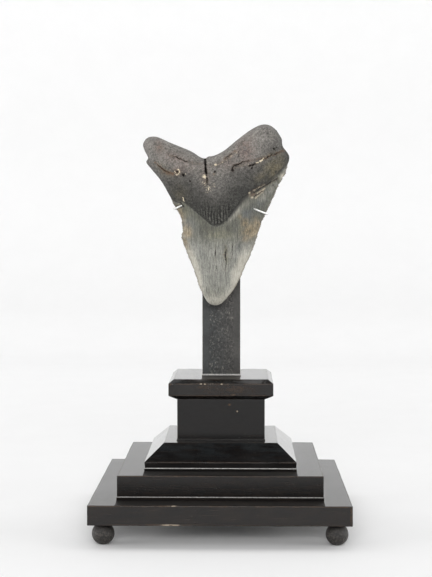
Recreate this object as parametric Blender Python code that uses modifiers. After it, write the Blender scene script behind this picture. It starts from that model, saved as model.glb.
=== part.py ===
"""A megalodon tooth held by two wire claws on a stepped, ebonised wooden stand.

Metres, +Z up. The tooth's inner, rounded face looks towards -Y and its right-hand root lobe
lies towards +X. The origin is the middle of the stand's square footprint, on the surface that
the ball feet stand on.
"""
import math

import bmesh
import bpy
import numpy as np
from mathutils import Vector, noise
from mathutils.bvhtree import BVHTree

MM = 0.001
GAP = 0.3 * MM                # between pieces that touch

# Ball feet: turned balls with a small flat above and below.
FOOT_DIAMETER = 15.9 * MM
FOOT_FLAT_RADIUS = 2.2 * MM
FOOT_INSET = 2.3 * MM         # from the slab's edge to the ball

# Square blocks of the stand, from the bottom up: side and height.
BASE_SIDE = 184.0 * MM
BASE_HEIGHT = 14.2 * MM
STEP_SIDE = 146.0 * MM
STEP_HEIGHT = 16.4 * MM
PLINTH_SIDE = 109.5 * MM
PLINTH_TOP_SIDE = 82.5 * MM
PLINTH_LIP = 4.7 * MM         # upright edge under the plinth's long bevel
PLINTH_HEIGHT = 18.1 * MM
BLOCK_SIDE = 64.3 * MM
BLOCK_HEIGHT = 30.3 * MM
CAP_SIDE = 76.5 * MM
CAP_UNDER_SIDE = 65.5 * MM
CAP_TOP_SIDE = 69.0 * MM
CAP_UNDER_CHAMFER = 3.0 * MM  # heights of the cap's two chamfers
CAP_TOP_CHAMFER = 2.9 * MM
CAP_HEIGHT = 14.6 * MM
POST_SIDE = 28.2 * MM
POST_HEIGHT = 141.0 * MM
ARRIS = 0.6 * MM              # width of the rubbed edges of the wood

# Bracket and claws behind the tooth.
PLATE_WIDTH = 18.0 * MM
PLATE_HEIGHT = 26.0 * MM
PLATE_THICKNESS = 2.0 * MM
PLATE_MIDDLE_Z = 231.0 * MM
SCREW_HEAD_DIAMETER = 5.0 * MM
SCREW_HEAD_HEIGHT = 1.5 * MM
SCREW_SPACING = 15.0 * MM
WIRE_DIAMETER = 1.3 * MM

# The tooth's outline seen from the front, as (x, z) in millimetres. The root lobes' outer
# corners begin both edges; the edges end where the rounded tip begins.
LEFT_EDGE = [
    (-55.0, 285.6), (-57.1, 281.4), (-55.9, 277.0), (-53.4, 271.9), (-54.6, 268.6),
    (-51.0, 263.6), (-44.2, 255.4), (-39.0, 246.6), (-34.5, 237.8), (-29.8, 229.4),
    (-28.2, 220.6), (-28.7, 213.2), (-25.0, 202.6), (-21.3, 193.8), (-18.2, 184.8),
    (-14.7, 175.2), (-10.4, 167.0),
]
RIGHT_EDGE = [
    (40.8, 291.4), (44.0, 285.6), (45.0, 280.4), (49.7, 272.8), (48.2, 265.8), (46.6, 259.6),
    (41.6, 250.9), (37.7, 242.1), (33.6, 233.4), (29.4, 224.0), (25.6, 212.4), (21.4, 200.6),
    (17.6, 193.0), (14.6, 185.6), (9.3, 176.0), (3.4, 168.4),
]
TOP_EDGE = [
    (-55.0, 285.6), (-51.6, 287.2), (-46.0, 286.8), (-37.0, 282.8), (-22.4, 276.8),
    (-15.4, 272.4), (-11.4, 271.4), (-9.4, 272.7), (-4.8, 273.5), (2.6, 277.4), (11.6, 284.7),
    (21.4, 292.0), (29.4, 295.8), (35.8, 295.2), (40.8, 291.4),
]
TIP_EDGE = [(-10.4, 167.0), (-7.4, 164.7), (-3.6, 164.0), (0.2, 165.4), (3.4, 168.4)]

# Where the root ends on the front and back faces, and how thick the tooth is along its depth.
ROOT_BORDER = [
    (-60.0, 245.0), (-35.0, 241.0), (-27.5, 239.2), (-20.6, 234.3), (-9.9, 225.4),
    (-4.0, 222.0), (3.6, 225.6), (11.6, 236.2), (17.6, 243.1), (26.3, 249.0), (35.2, 254.8),
    (46.9, 266.0), (60.0, 282.0),
]
BACK_BORDER = [(-60.0, 263.0), (-30.0, 254.0), (-3.0, 245.0), (25.0, 256.0), (60.0, 276.0)]
TOOTH_MIDDLE_Y = -26.0 * MM
CROWN_FRONT = [(164, 4.0), (178, 7.4), (200, 10.2), (222, 11.8), (250, 12.5)]
CROWN_BACK = 3.4              # these thicknesses are in millimetres, as the outline is
ROOT_FRONT = 10.5
ROOT_BACK = 5.6
BOSS_RISE = 6.5               # the swelling over the middle of the root
BOSS_CENTRE = (-3.0, 245.0)
BOSS_RADIUS = 21.0
ROOT_EDGE_ROUND = 10.0        # width of the root's rounded rim
ROOT_BLEND = 15.0             # distance over which the root swells from its border
LEDGE_RISE = 1.8              # step from the enamel up to the root on the right-hand side
BACK_LEDGE_RISE = 0.9
COLLAR_RECESS = 0.7           # the dark band under the middle of the root
LUMP_RISE = 0.45
TIP_BOW = 2.0                 # the tip leans forward by this much
COLUMNS = 32
ROWS = 38

# Cracks and pits in the root: (x, z) in millimetres, with a radius at each point.
CRACKS = {
    "upper_left": [(-37.9, 274.3, 0.3), (-31.8, 272.4, 0.6), (-26.7, 269.8, 0.7), (-20.7, 268.1, 0.3)],
    "lower_left": [(-46.0, 267.4, 0.3), (-42.1, 263.2, 0.7), (-37.0, 260.7, 0.3)],
    "right": [
        (8.3, 262.9, 1.0), (9.7, 264.9, 0.8), (16.2, 268.3, 0.8), (23.9, 269.1, 0.5),
        (31.1, 270.6, 0.7), (37.0, 273.8, 0.7), (43.3, 276.0, 0.3),
    ],
    "right_branch": [(21.6, 265.6, 0.3), (24.6, 267.3, 0.7), (28.6, 268.7, 0.3)],
    "upper_right": [(-3.2, 266.1, 0.3), (4.0, 269.7, 0.6), (12.6, 275.8, 0.3)],
    "flake_upper": [(23.4, 247.9, 0.3), (27.2, 250.0, 0.8), (31.1, 252.0, 0.3)],
    "flake_lower": [(24.3, 242.5, 0.3), (27.2, 244.8, 0.7), (30.2, 247.1, 0.3)],
    "crown": [(3.5, 206.5, 0.3), (3.7, 200.0, 0.6), (3.5, 191.2, 0.3)],
}
PITS = [(-31.6, 261.0, 1.4), (-26.9, 259.3, 1.1), (38.6, 278.1, 0.8), (-11.3, 257.0, 1.2)]
CLEFT_TOP = (-10.9, 273.5)    # the open split at the notch between the lobes
CLEFT_FOOT = (-10.0, 257.0)
CLEFT_WIDTH = 1.7
CLEFT_DEPTH = 7.0

OBJECT_NAME = "megalodon_tooth"


def clear_scene():
    for old in list(bpy.data.objects):
        bpy.data.objects.remove(old, do_unlink=True)


def new_collection(name):
    collection = bpy.data.collections.new(name)
    bpy.context.scene.collection.children.link(collection)
    return collection


def new_material(name, colour, roughness, metallic=0.0):
    material = bpy.data.materials.new(name)
    material.use_nodes = True
    shader = material.node_tree.nodes["Principled BSDF"]
    shader.inputs["Base Color"].default_value = (*colour, 1.0)
    shader.inputs["Roughness"].default_value = roughness
    shader.inputs["Metallic"].default_value = metallic
    return material


def new_object(name, mesh, material, collection):
    piece = bpy.data.objects.new(name, mesh)
    collection.objects.link(piece)
    if material is not None:
        mesh.materials.append(material)
    return piece


def mesh_from_bmesh(name, shape):
    mesh = bpy.data.meshes.new(name)
    shape.to_mesh(mesh)
    shape.free()
    return mesh


def add_bevel(piece, width, segments=2):
    bevel = piece.modifiers.new("rubbed edges", "BEVEL")
    bevel.width = width
    bevel.segments = segments
    bevel.limit_method = "ANGLE"
    bevel.angle_limit = math.radians(20)


def add_screw(piece, steps):
    screw = piece.modifiers.new("turn", "SCREW")
    screw.steps = steps
    screw.render_steps = steps
    screw.use_merge_vertices = True
    screw.merge_threshold = 0.00001


def profile_mesh(name, profile):
    """A line of vertices through (radius, height) points, from the top down."""
    mesh = bpy.data.meshes.new(name)
    points = [(radius, 0.0, height) for radius, height in profile]
    lines = [(i, i + 1) for i in range(len(points) - 1)]
    mesh.from_pydata(points, lines, [])
    return mesh


def square_block(name, outline, bottom, material, collection):
    """A square block whose (side, height) outline, from the top down, is turned in four steps."""
    corner = math.sqrt(0.5)
    profile = [(0.0, outline[0][1])]
    profile += [(side * corner, height) for side, height in outline]
    profile.append((0.0, outline[-1][1]))
    piece = new_object(name, profile_mesh(name, profile), material, collection)
    add_screw(piece, 4)
    add_bevel(piece, ARRIS)
    piece.location = (0.0, 0.0, bottom)
    piece.rotation_euler = (0.0, 0.0, math.radians(45))
    return piece


def plain_outline(side, height):
    return [(side, height), (side, 0.0)]


def make_feet(material, collection):
    radius = FOOT_DIAMETER / 2
    start = math.asin(FOOT_FLAT_RADIUS / radius)
    middle = radius * math.cos(start)
    count = 9
    angles = [start + (math.pi - 2 * start) * i / (count - 1) for i in range(count)]
    profile = [(0.0, 2 * middle)]
    profile += [(radius * math.sin(a), middle + radius * math.cos(a)) for a in angles]
    profile.append((0.0, 0.0))
    mesh = profile_mesh("ball_foot", profile)
    mesh.materials.append(material)
    reach = BASE_SIDE / 2 - FOOT_INSET - radius
    for depth_name, y in (("front", -reach), ("back", reach)):
        for side_name, x in (("left", -reach), ("right", reach)):
            foot = new_object(f"foot_{depth_name}_{side_name}", mesh, None, collection)
            add_screw(foot, 16)
            foot.location = (x, y, 0.0)
    return 2 * middle


def make_stand(materials, collection):
    """The feet and the blocks stacked on them; gives the height of the cap's top."""
    wood = materials["wood"]
    z = make_feet(materials["feet"], collection) + GAP
    square_block("base_slab", plain_outline(BASE_SIDE, BASE_HEIGHT), z, wood, collection)
    z += BASE_HEIGHT + GAP
    square_block("middle_step", plain_outline(STEP_SIDE, STEP_HEIGHT), z, wood, collection)
    z += STEP_HEIGHT + GAP
    plinth = [(PLINTH_TOP_SIDE, PLINTH_HEIGHT), (PLINTH_SIDE, PLINTH_LIP), (PLINTH_SIDE, 0.0)]
    square_block("bevelled_plinth", plinth, z, wood, collection)
    z += PLINTH_HEIGHT + GAP
    square_block("pedestal_block", plain_outline(BLOCK_SIDE, BLOCK_HEIGHT), z, wood, collection)
    z += BLOCK_HEIGHT + GAP
    cap = [
        (CAP_TOP_SIDE, CAP_HEIGHT),
        (CAP_SIDE, CAP_HEIGHT - CAP_TOP_CHAMFER),
        (CAP_SIDE, CAP_UNDER_CHAMFER),
        (CAP_UNDER_SIDE, 0.0),
    ]
    square_block("cap", cap, z, wood, collection)
    return z + CAP_HEIGHT


def make_post(bottom, material, collection):
    square_block("post", plain_outline(POST_SIDE, POST_HEIGHT), bottom, material, collection)


def smooth_step(value):
    value = np.clip(value, 0.0, 1.0)
    return value * value * (3.0 - 2.0 * value)


def quarter_round(value):
    """Rises from 0 to 1 as the side of an ellipse does."""
    return np.sqrt(1.0 - (1.0 - np.clip(value, 0.0, 1.0)) ** 2)


def curve_through(points, fractions):
    """Points at fractions of the length of a smooth curve through the given points."""
    knots = np.array(points, dtype=float)
    knots = np.vstack([2 * knots[0] - knots[1], knots, 2 * knots[-1] - knots[-2]])
    t = np.linspace(0.0, 1.0, 8, endpoint=False)[:, None]
    pieces = []
    for a, b, c, d in zip(knots, knots[1:], knots[2:], knots[3:]):
        bend = 2 * a - 5 * b + 4 * c - d
        twist = 3 * b - a - 3 * c + d
        pieces.append(b + 0.5 * (t * (c - a) + t ** 2 * bend + t ** 3 * twist))
    path = np.vstack(pieces + [knots[-2:-1]])
    lengths = np.concatenate([[0.0], np.cumsum(np.linalg.norm(np.diff(path, axis=0), axis=1))])
    wanted = np.asarray(fractions) * lengths[-1]
    return np.stack([np.interp(wanted, lengths, path[:, k]) for k in range(path.shape[1])], axis=-1)


def distance_to_path(x, z, path):
    nearest = np.full(x.shape, np.inf)
    for (x0, z0), (x1, z1) in zip(path, path[1:]):
        run, rise = x1 - x0, z1 - z0
        square = run * run + rise * rise
        if square == 0.0:
            continue
        along = np.clip(((x - x0) * run + (z - z0) * rise) / square, 0.0, 1.0)
        nearest = np.minimum(nearest, np.hypot(x - x0 - along * run, z - z0 - along * rise))
    return nearest


def spread(count):
    """Fractions from 0 to 1 that lie closer together at both ends."""
    t = np.linspace(0.0, 1.0, count + 1)
    return 0.35 * t + 0.65 * (1.0 - np.cos(math.pi * t)) / 2


def tooth_grid():
    """The outline's inside as a grid of (x, z), with its own across and down fractions."""
    across = spread(COLUMNS)
    down = spread(ROWS)
    top = curve_through(TOP_EDGE, across)[None, :, :]
    tip = curve_through(TIP_EDGE, across)[None, :, :]
    left = curve_through(LEFT_EDGE, down)[:, None, :]
    right = curve_through(RIGHT_EDGE, down)[:, None, :]
    u = across[None, :, None]
    v = down[:, None, None]
    corners = (
        (1 - v) * ((1 - u) * top[:, :1] + u * top[:, -1:])
        + v * ((1 - u) * tip[:, :1] + u * tip[:, -1:])
    )
    grid = (1 - v) * top + v * tip + (1 - u) * left + u * right - corners
    u, v = np.meshgrid(across, down)
    return grid[:, :, 0], grid[:, :, 1], u, v


def lumps(x, z, scale, seed):
    values = [noise.noise(Vector((a / scale, seed, b / scale))) for a, b in zip(x.flat, z.flat)]
    return np.array(values).reshape(x.shape)


def tooth_depths(x, z, u, v):
    """How far the tooth reaches in front of its middle plane and behind it, in millimetres."""
    fine = np.linspace(0.0, 1.0, 80)
    outline = np.vstack([
        curve_through(LEFT_EDGE, fine)[::-1],
        curve_through(TOP_EDGE, fine),
        curve_through(RIGHT_EDGE, fine),
        curve_through(TIP_EDGE, fine)[::-1],
    ])
    border = curve_through(ROOT_BORDER, fine)
    edge = distance_to_path(x, z, outline)
    side = np.sign(z - np.interp(x, border[:, 0], border[:, 1]))
    above = side * distance_to_path(x, z, border)
    root = smooth_step(above / ROOT_BLEND)

    across = 1.0 - (2.0 * u - 1.0) ** 2
    tip = quarter_round((1.0 - v) / 0.06)
    heights, thicknesses = zip(*CROWN_FRONT)
    crown_front = np.interp(z, heights, thicknesses) * across ** 0.75 * tip
    crown_back = CROWN_BACK * across ** 0.6 * tip

    rim = quarter_round(edge / ROOT_EDGE_ROUND)
    from_boss = np.hypot(x - BOSS_CENTRE[0], (z - BOSS_CENTRE[1]) * 1.15)
    boss = BOSS_RISE * np.exp(-((from_boss / BOSS_RADIUS) ** 2))
    root_front = (ROOT_FRONT + boss) * rim
    root_back = ROOT_BACK * rim
    back_border = np.interp(x, *zip(*BACK_BORDER))
    back_root = smooth_step((z - back_border) / ROOT_BLEND + 0.5)
    rim_fade = np.clip(edge / 3.0, 0.0, 1.0)
    back_ledge = BACK_LEDGE_RISE * smooth_step((z - back_border) / 2.0 + 0.5) * rim_fade

    ledge_share = 0.35 + 0.65 * smooth_step((x - 4.0) / 8.0)
    ledge = LEDGE_RISE * ledge_share * smooth_step(above / 1.6) * rim_fade
    collar_middle = np.exp(-(((x + 4.0) / 14.0) ** 2)) * np.exp(-(((above - 4.0) / 4.0) ** 2))
    collar = COLLAR_RECESS * collar_middle
    lump = LUMP_RISE * lumps(x, z, 9.0, 3.0) * root * rim_fade

    front = crown_front * (1 - root) + root_front * root + ledge - collar + lump
    back = crown_back * (1 - back_root) + root_back * back_root + back_ledge
    return np.maximum(front, 0.2), np.maximum(back, 0.2)


def tooth_mesh():
    """Front and back sheets over the outline that share its rim."""
    x, z, u, v = tooth_grid()
    front, back = tooth_depths(x, z, u, v)
    lean = TIP_BOW * smooth_step((222.0 - z) / 60.0)
    middle = TOOTH_MIDDLE_Y / MM - lean
    rows, columns = x.shape
    rim = np.ones(x.shape, dtype=bool)
    rim[1:-1, 1:-1] = False
    front[rim] = 0.0
    back[rim] = 0.0

    shape = bmesh.new()
    front_points = np.empty(x.shape, dtype=object)
    back_points = np.empty(x.shape, dtype=object)
    for i in range(rows):
        for j in range(columns):
            place = np.array([x[i, j], middle[i, j] - front[i, j], z[i, j]]) * MM
            front_points[i, j] = shape.verts.new(place)
            back_points[i, j] = front_points[i, j]
            if not rim[i, j]:
                place = np.array([x[i, j], middle[i, j] + back[i, j], z[i, j]]) * MM
                back_points[i, j] = shape.verts.new(place)
    for i in range(rows - 1):
        for j in range(columns - 1):
            falling = (i < rows / 2) == (j < columns / 2)
            for points, flip in ((front_points, False), (back_points, True)):
                a, b = points[i, j], points[i + 1, j]
                c, d = points[i + 1, j + 1], points[i, j + 1]
                halves = ((a, b, c), (a, c, d)) if falling else ((a, b, d), (b, c, d))
                for half in halves:
                    shape.faces.new(half[::-1] if flip else half)
    return mesh_from_bmesh("tooth", shape)


def front_y(tree, x, z):
    """Where the tooth's front face lies at (x, z), all in metres."""
    hit = tree.ray_cast(Vector((x, -1.0, z)), Vector((0.0, 1.0, 0.0)))[0]
    return hit.y


def tube(name, points, radius, radii=None):
    """A mesh tube with closed ends along the points."""
    curve = bpy.data.curves.new(name, "CURVE")
    curve.dimensions = "3D"
    curve.bevel_depth = radius
    curve.bevel_resolution = 2
    curve.use_fill_caps = True
    spline = curve.splines.new("POLY")
    spline.points.add(len(points) - 1)
    for k, (point, place) in enumerate(zip(spline.points, points)):
        point.co = (*place, 1.0)
        point.radius = 1.0 if radii is None else radii[k]
    holder = bpy.data.objects.new(name, curve)
    bpy.context.scene.collection.objects.link(holder)
    bpy.context.view_layer.update()
    evaluated = holder.evaluated_get(bpy.context.evaluated_depsgraph_get())
    mesh = bpy.data.meshes.new_from_object(evaluated)
    bpy.data.objects.remove(holder, do_unlink=True)
    bpy.data.curves.remove(curve)
    shape = bmesh.new()
    shape.from_mesh(mesh)
    bmesh.ops.remove_doubles(shape, verts=shape.verts, dist=0.00001)
    bmesh.ops.recalc_face_normals(shape, faces=shape.faces)
    shape.to_mesh(mesh)
    shape.free()
    return mesh


def add_cutter(tooth, mesh, cutters):
    cutter = new_object(mesh.name, mesh, None, cutters)
    cutter.hide_render = True
    cutter.display_type = "WIRE"
    cut = tooth.modifiers.new(mesh.name, "BOOLEAN")
    cut.operation = "DIFFERENCE"
    cut.object = cutter


def crack_mesh(name, marks, tree):
    """A tube sunk in the front face, thin at the crack's ends."""
    marks = np.array(marks)
    count = max(4, int(np.linalg.norm(marks[-1, :2] - marks[0, :2]) / 2.5))
    path = curve_through(marks, np.linspace(0.0, 1.0, count)) * MM
    points = [(x, front_y(tree, x, z) + 0.3 * radius, z) for x, z, radius in path]
    return tube("crack_" + name, points, 1.0, path[:, 2])


def cleft_mesh():
    """A blade, narrow at its foot, for the split between the root lobes."""
    shape = bmesh.new()
    bmesh.ops.create_cube(shape, size=1.0)
    length = CLEFT_TOP[1] - CLEFT_FOOT[1]
    front = TOOTH_MIDDLE_Y / MM - 2 * CLEFT_DEPTH
    for point in shape.verts:
        high = point.co.z + 0.5
        width = CLEFT_WIDTH * (0.35 + 0.65 * high)
        x = CLEFT_FOOT[0] + (CLEFT_TOP[0] - CLEFT_FOOT[0]) * high + width * point.co.x
        y = front + 2 * CLEFT_DEPTH * (point.co.y + 0.5) * (0.75 + 0.35 * high)
        point.co = Vector((x, y, CLEFT_FOOT[1] + length * high)) * MM
    return mesh_from_bmesh("cleft", shape)


def pit_mesh(name, x, z, radius, tree):
    shape = bmesh.new()
    bmesh.ops.create_icosphere(shape, subdivisions=1, radius=radius * MM)
    middle = Vector((x * MM, front_y(tree, x * MM, z * MM), z * MM))
    bmesh.ops.translate(shape, verts=shape.verts, vec=middle)
    return mesh_from_bmesh(name, shape)


def make_tooth(material, collection, cutters):
    mesh = tooth_mesh()
    tree = BVHTree.FromPolygons([v.co for v in mesh.vertices], [p.vertices for p in mesh.polygons])
    tooth = new_object("tooth", mesh, material, collection)
    add_cutter(tooth, cleft_mesh(), cutters)
    for name, marks in CRACKS.items():
        add_cutter(tooth, crack_mesh(name, marks, tree), cutters)
    for number, (x, z, radius) in enumerate(PITS):
        add_cutter(tooth, pit_mesh(f"pit_{number}", x, z, radius, tree), cutters)
    mesh.shade_smooth()
    mesh.set_sharp_from_angle(angle=math.radians(50))
    return tree


def make_bracket(material, collection):
    """The plate on the post's front and its two screw heads; gives the plate's middle depth."""
    back = -POST_SIDE / 2 - GAP
    shape = bmesh.new()
    bmesh.ops.create_cube(shape, size=1.0)
    size = Vector((PLATE_WIDTH, PLATE_THICKNESS, PLATE_HEIGHT))
    bmesh.ops.scale(shape, vec=size, verts=shape.verts)
    plate = new_object("bracket_plate", mesh_from_bmesh("bracket_plate", shape), material, collection)
    plate.location = (0.0, back - PLATE_THICKNESS / 2, PLATE_MIDDLE_Z)
    add_bevel(plate, 0.3 * MM)

    radius = SCREW_HEAD_DIAMETER / 2
    dome = [(radius * math.sin(a), SCREW_HEAD_HEIGHT * (0.35 + 0.65 * math.cos(a)))
            for a in np.linspace(0.0, math.pi / 2, 5)]
    profile = [(0.0, SCREW_HEAD_HEIGHT)] + dome[1:] + [(radius, 0.0), (0.0, 0.0)]
    front = back - PLATE_THICKNESS - GAP
    for name, side in (("upper", 1), ("lower", -1)):
        mesh = profile_mesh("screw_head", profile)
        head = new_object(f"bracket_screw_{name}", mesh, material, collection)
        add_screw(head, 16)
        head.location = (0.0, front, PLATE_MIDDLE_Z + side * SCREW_SPACING / 2)
        head.rotation_euler = (math.radians(90), 0.0, 0.0)
    return back - PLATE_THICKNESS / 2


def make_claw(name, side, edge, inner, plate_y, tree, material, collection):
    """A wire from the plate's side, behind the tooth, round its edge and on to its front face.

    edge and inner are the (x, z) of the bend round the edge and of the free end.
    """
    radius = WIRE_DIAMETER / 2
    lift = radius + 2 * GAP
    edge_x, edge_z = edge
    start_x = side * (PLATE_WIDTH / 2 + GAP)
    middle_y = TOOTH_MIDDLE_Y
    path = [
        (start_x, plate_y, edge_z - 3.0 * MM),
        (start_x + side * 6.0 * MM, plate_y, edge_z - 2.6 * MM),
        (edge_x - side * 4.5 * MM, plate_y - 1.2 * MM, edge_z - 1.0 * MM),
        (edge_x - side * 0.8 * MM, plate_y - 4.0 * MM, edge_z - 0.6 * MM),
        (edge_x + side * lift, middle_y, edge_z - 0.2 * MM),
    ]
    inward = np.linspace(0.16, 1.0, 5)
    for share in inward:
        x = edge_x + (inner[0] - edge_x) * share
        z = edge_z + (inner[1] - edge_z) * share
        path.append((x, front_y(tree, x, z) - lift, z))
    points = curve_through(path, np.linspace(0.0, 1.0, 22))
    new_object(name, tube(name, points, radius), material, collection)


def main():
    clear_scene()
    model = new_collection(OBJECT_NAME)
    cutters = new_collection("cutters")
    materials = {
        "fossil": new_material("fossil tooth", (0.17, 0.165, 0.15), 0.55),
        "wood": new_material("ebonised wood", (0.012, 0.011, 0.011), 0.3),
        "post": new_material("ebonised post", (0.03, 0.028, 0.027), 0.5),
        "feet": new_material("ebonised feet", (0.018, 0.015, 0.013), 0.55),
        "wire": new_material("claw wire", (0.75, 0.75, 0.73), 0.3, 1.0),
        "bracket": new_material("bracket metal", (0.35, 0.33, 0.30), 0.4, 1.0),
    }
    cap_top = make_stand(materials, model)
    make_post(cap_top + GAP, materials["post"], model)
    tree = make_tooth(materials["fossil"], model, cutters)
    plate_y = make_bracket(materials["bracket"], model)
    claws = (
        ("claw_left", -1, (-33.2 * MM, 235.0 * MM), (-28.2 * MM, 237.3 * MM)),
        ("claw_right", 1, (32.7 * MM, 231.2 * MM), (23.7 * MM, 234.8 * MM)),
    )
    for name, side, edge, inner in claws:
        make_claw(name, side, edge, inner, plate_y, tree, materials["wire"], model)


main()
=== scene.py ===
import math
from collections import namedtuple
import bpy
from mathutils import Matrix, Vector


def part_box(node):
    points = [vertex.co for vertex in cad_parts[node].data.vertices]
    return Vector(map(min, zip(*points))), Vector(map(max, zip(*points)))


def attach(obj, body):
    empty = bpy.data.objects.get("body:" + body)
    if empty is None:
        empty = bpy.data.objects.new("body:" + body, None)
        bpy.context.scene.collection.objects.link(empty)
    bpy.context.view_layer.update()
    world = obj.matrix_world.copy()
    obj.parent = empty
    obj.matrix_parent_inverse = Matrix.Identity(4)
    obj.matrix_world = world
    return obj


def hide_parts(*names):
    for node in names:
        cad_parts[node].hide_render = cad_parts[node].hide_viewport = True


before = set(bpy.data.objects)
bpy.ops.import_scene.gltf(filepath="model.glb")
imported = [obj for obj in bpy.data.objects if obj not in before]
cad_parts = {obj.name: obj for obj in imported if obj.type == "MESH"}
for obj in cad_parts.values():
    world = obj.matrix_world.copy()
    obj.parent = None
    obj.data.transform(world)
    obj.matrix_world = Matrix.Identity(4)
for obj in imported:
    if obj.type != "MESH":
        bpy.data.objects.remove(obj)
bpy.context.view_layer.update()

from types import SimpleNamespace

import bpy
import numpy as np
from mathutils import Vector, noise
from mathutils.bvhtree import BVHTree

bl_info = {
    "name": "Megalodon Tooth on a Stepped Stand",
    "version": (1, 0, 0),
    "blender": (4, 5, 0),
    "location": "3D View > Sidebar > Fossil",
    "description": "Builds a mounted megalodon tooth: the fossil, its wire claws and its stand",
    "category": "Object",
}

MM = 0.001

# The tooth's outline seen from the front, as (x, z) in millimetres. The root lobes' outer
# corners begin both edges; the edges end where the rounded tip begins.
LEFT_EDGE = [
    (-55.0, 285.6), (-57.1, 281.4), (-55.9, 277.0), (-53.4, 271.9), (-54.6, 268.6), (-51.0, 263.6),
    (-44.2, 255.4), (-39.0, 246.6), (-34.5, 237.8), (-29.8, 229.4), (-28.2, 220.6), (-28.7, 213.2),
    (-25.0, 202.6), (-21.3, 193.8), (-18.2, 184.8), (-14.7, 175.2), (-10.4, 167.0),
]
RIGHT_EDGE = [
    (40.8, 291.4), (44.0, 285.6), (45.0, 280.4), (49.7, 272.8), (48.2, 265.8), (46.6, 259.6),
    (41.6, 250.9), (37.7, 242.1), (33.6, 233.4), (29.4, 224.0), (25.6, 212.4), (21.4, 200.6),
    (17.6, 193.0), (14.6, 185.6), (9.3, 176.0), (3.4, 168.4),
]
TOP_EDGE = [
    (-55.0, 285.6), (-51.6, 287.2), (-46.0, 286.8), (-37.0, 282.8), (-22.4, 276.8), (-15.4, 272.4),
    (-11.4, 271.4), (-9.4, 272.7), (-4.8, 273.5), (2.6, 277.4), (11.6, 284.7), (21.4, 292.0),
    (29.4, 295.8), (35.8, 295.2), (40.8, 291.4),
]
TIP_EDGE = [(-10.4, 167.0), (-7.4, 164.7), (-3.6, 164.0), (0.2, 165.4), (3.4, 168.4)]
# Heights between which each cutting edge is worn wavy, and where the rounded tip begins.
CROWN_TOPS = {-1: 242.0, 1: 266.0}
TIP_TOP = 168.0
EDGE_RIPPLE = 0.22            # how deep the short waves in the cutting edges are
EDGE_WAVER = 0.25             # how deep the long waves in the whole outline are

# Where the root ends on the front and back faces, and how thick the tooth is, in millimetres.
ROOT_BORDER = [
    (-60.0, 245.0), (-35.0, 241.0), (-27.5, 239.2), (-20.6, 234.3), (-9.9, 225.4), (-4.0, 222.0),
    (3.6, 225.6), (11.6, 236.2), (17.6, 243.1), (26.3, 249.0), (35.2, 254.8), (46.9, 266.0),
    (60.0, 282.0),
]
BACK_BORDER = [(-60.0, 263.0), (-30.0, 254.0), (-3.0, 245.0), (25.0, 256.0), (60.0, 276.0)]
TOOTH_MIDDLE_Y = -26.0
CROWN_FRONT = [(164, 4.0), (178, 7.4), (200, 10.2), (222, 11.8), (250, 12.5)]
CROWN_BACK = 3.4
ROOT_FRONT = 10.5
ROOT_BACK = 5.6
BOSS_RISE = 6.5
BOSS_CENTRE = (-3.0, 245.0)
BOSS_RADIUS = 21.0
ROOT_EDGE_ROUND = 10.0
ROOT_BLEND = 15.0
LEDGE_RISE = 1.8
BACK_LEDGE_RISE = 0.9
COLLAR_RECESS = 0.7
COLLAR_LEFT = -29.0
COLLAR_MIDDLE = -4.0
COLLAR_RIGHT = 15.0
COLLAR_HEIGHT = 3.4
COLLAR_SWELL = 8.0            # how much higher the collar is in its middle
FLUTES_MIDDLE = -4.5
FLUTES_WIDTH = 11.0
FLUTE_PITCH = 2.1
FLUTE_RISE = 0.6
FLUTE_MEAN = 0.35             # how high the collar lies where it has no flutes
LUMP_RISE = 0.45
BACK_LUMP_RISE = 0.35
RIPPLE_RISE = 0.16
TIP_BOW = 2.0
BOW_TOP = 222.0
BOW_LENGTH = 60.0
LEAST_DEPTH = 0.15            # the tooth's half-thickness at its rim
# The tooth's grid: how many cells it has across and down, and how far they crowd to its edges.
COLUMNS = 190
ROWS = 244
CROWDING = 0.45

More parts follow.
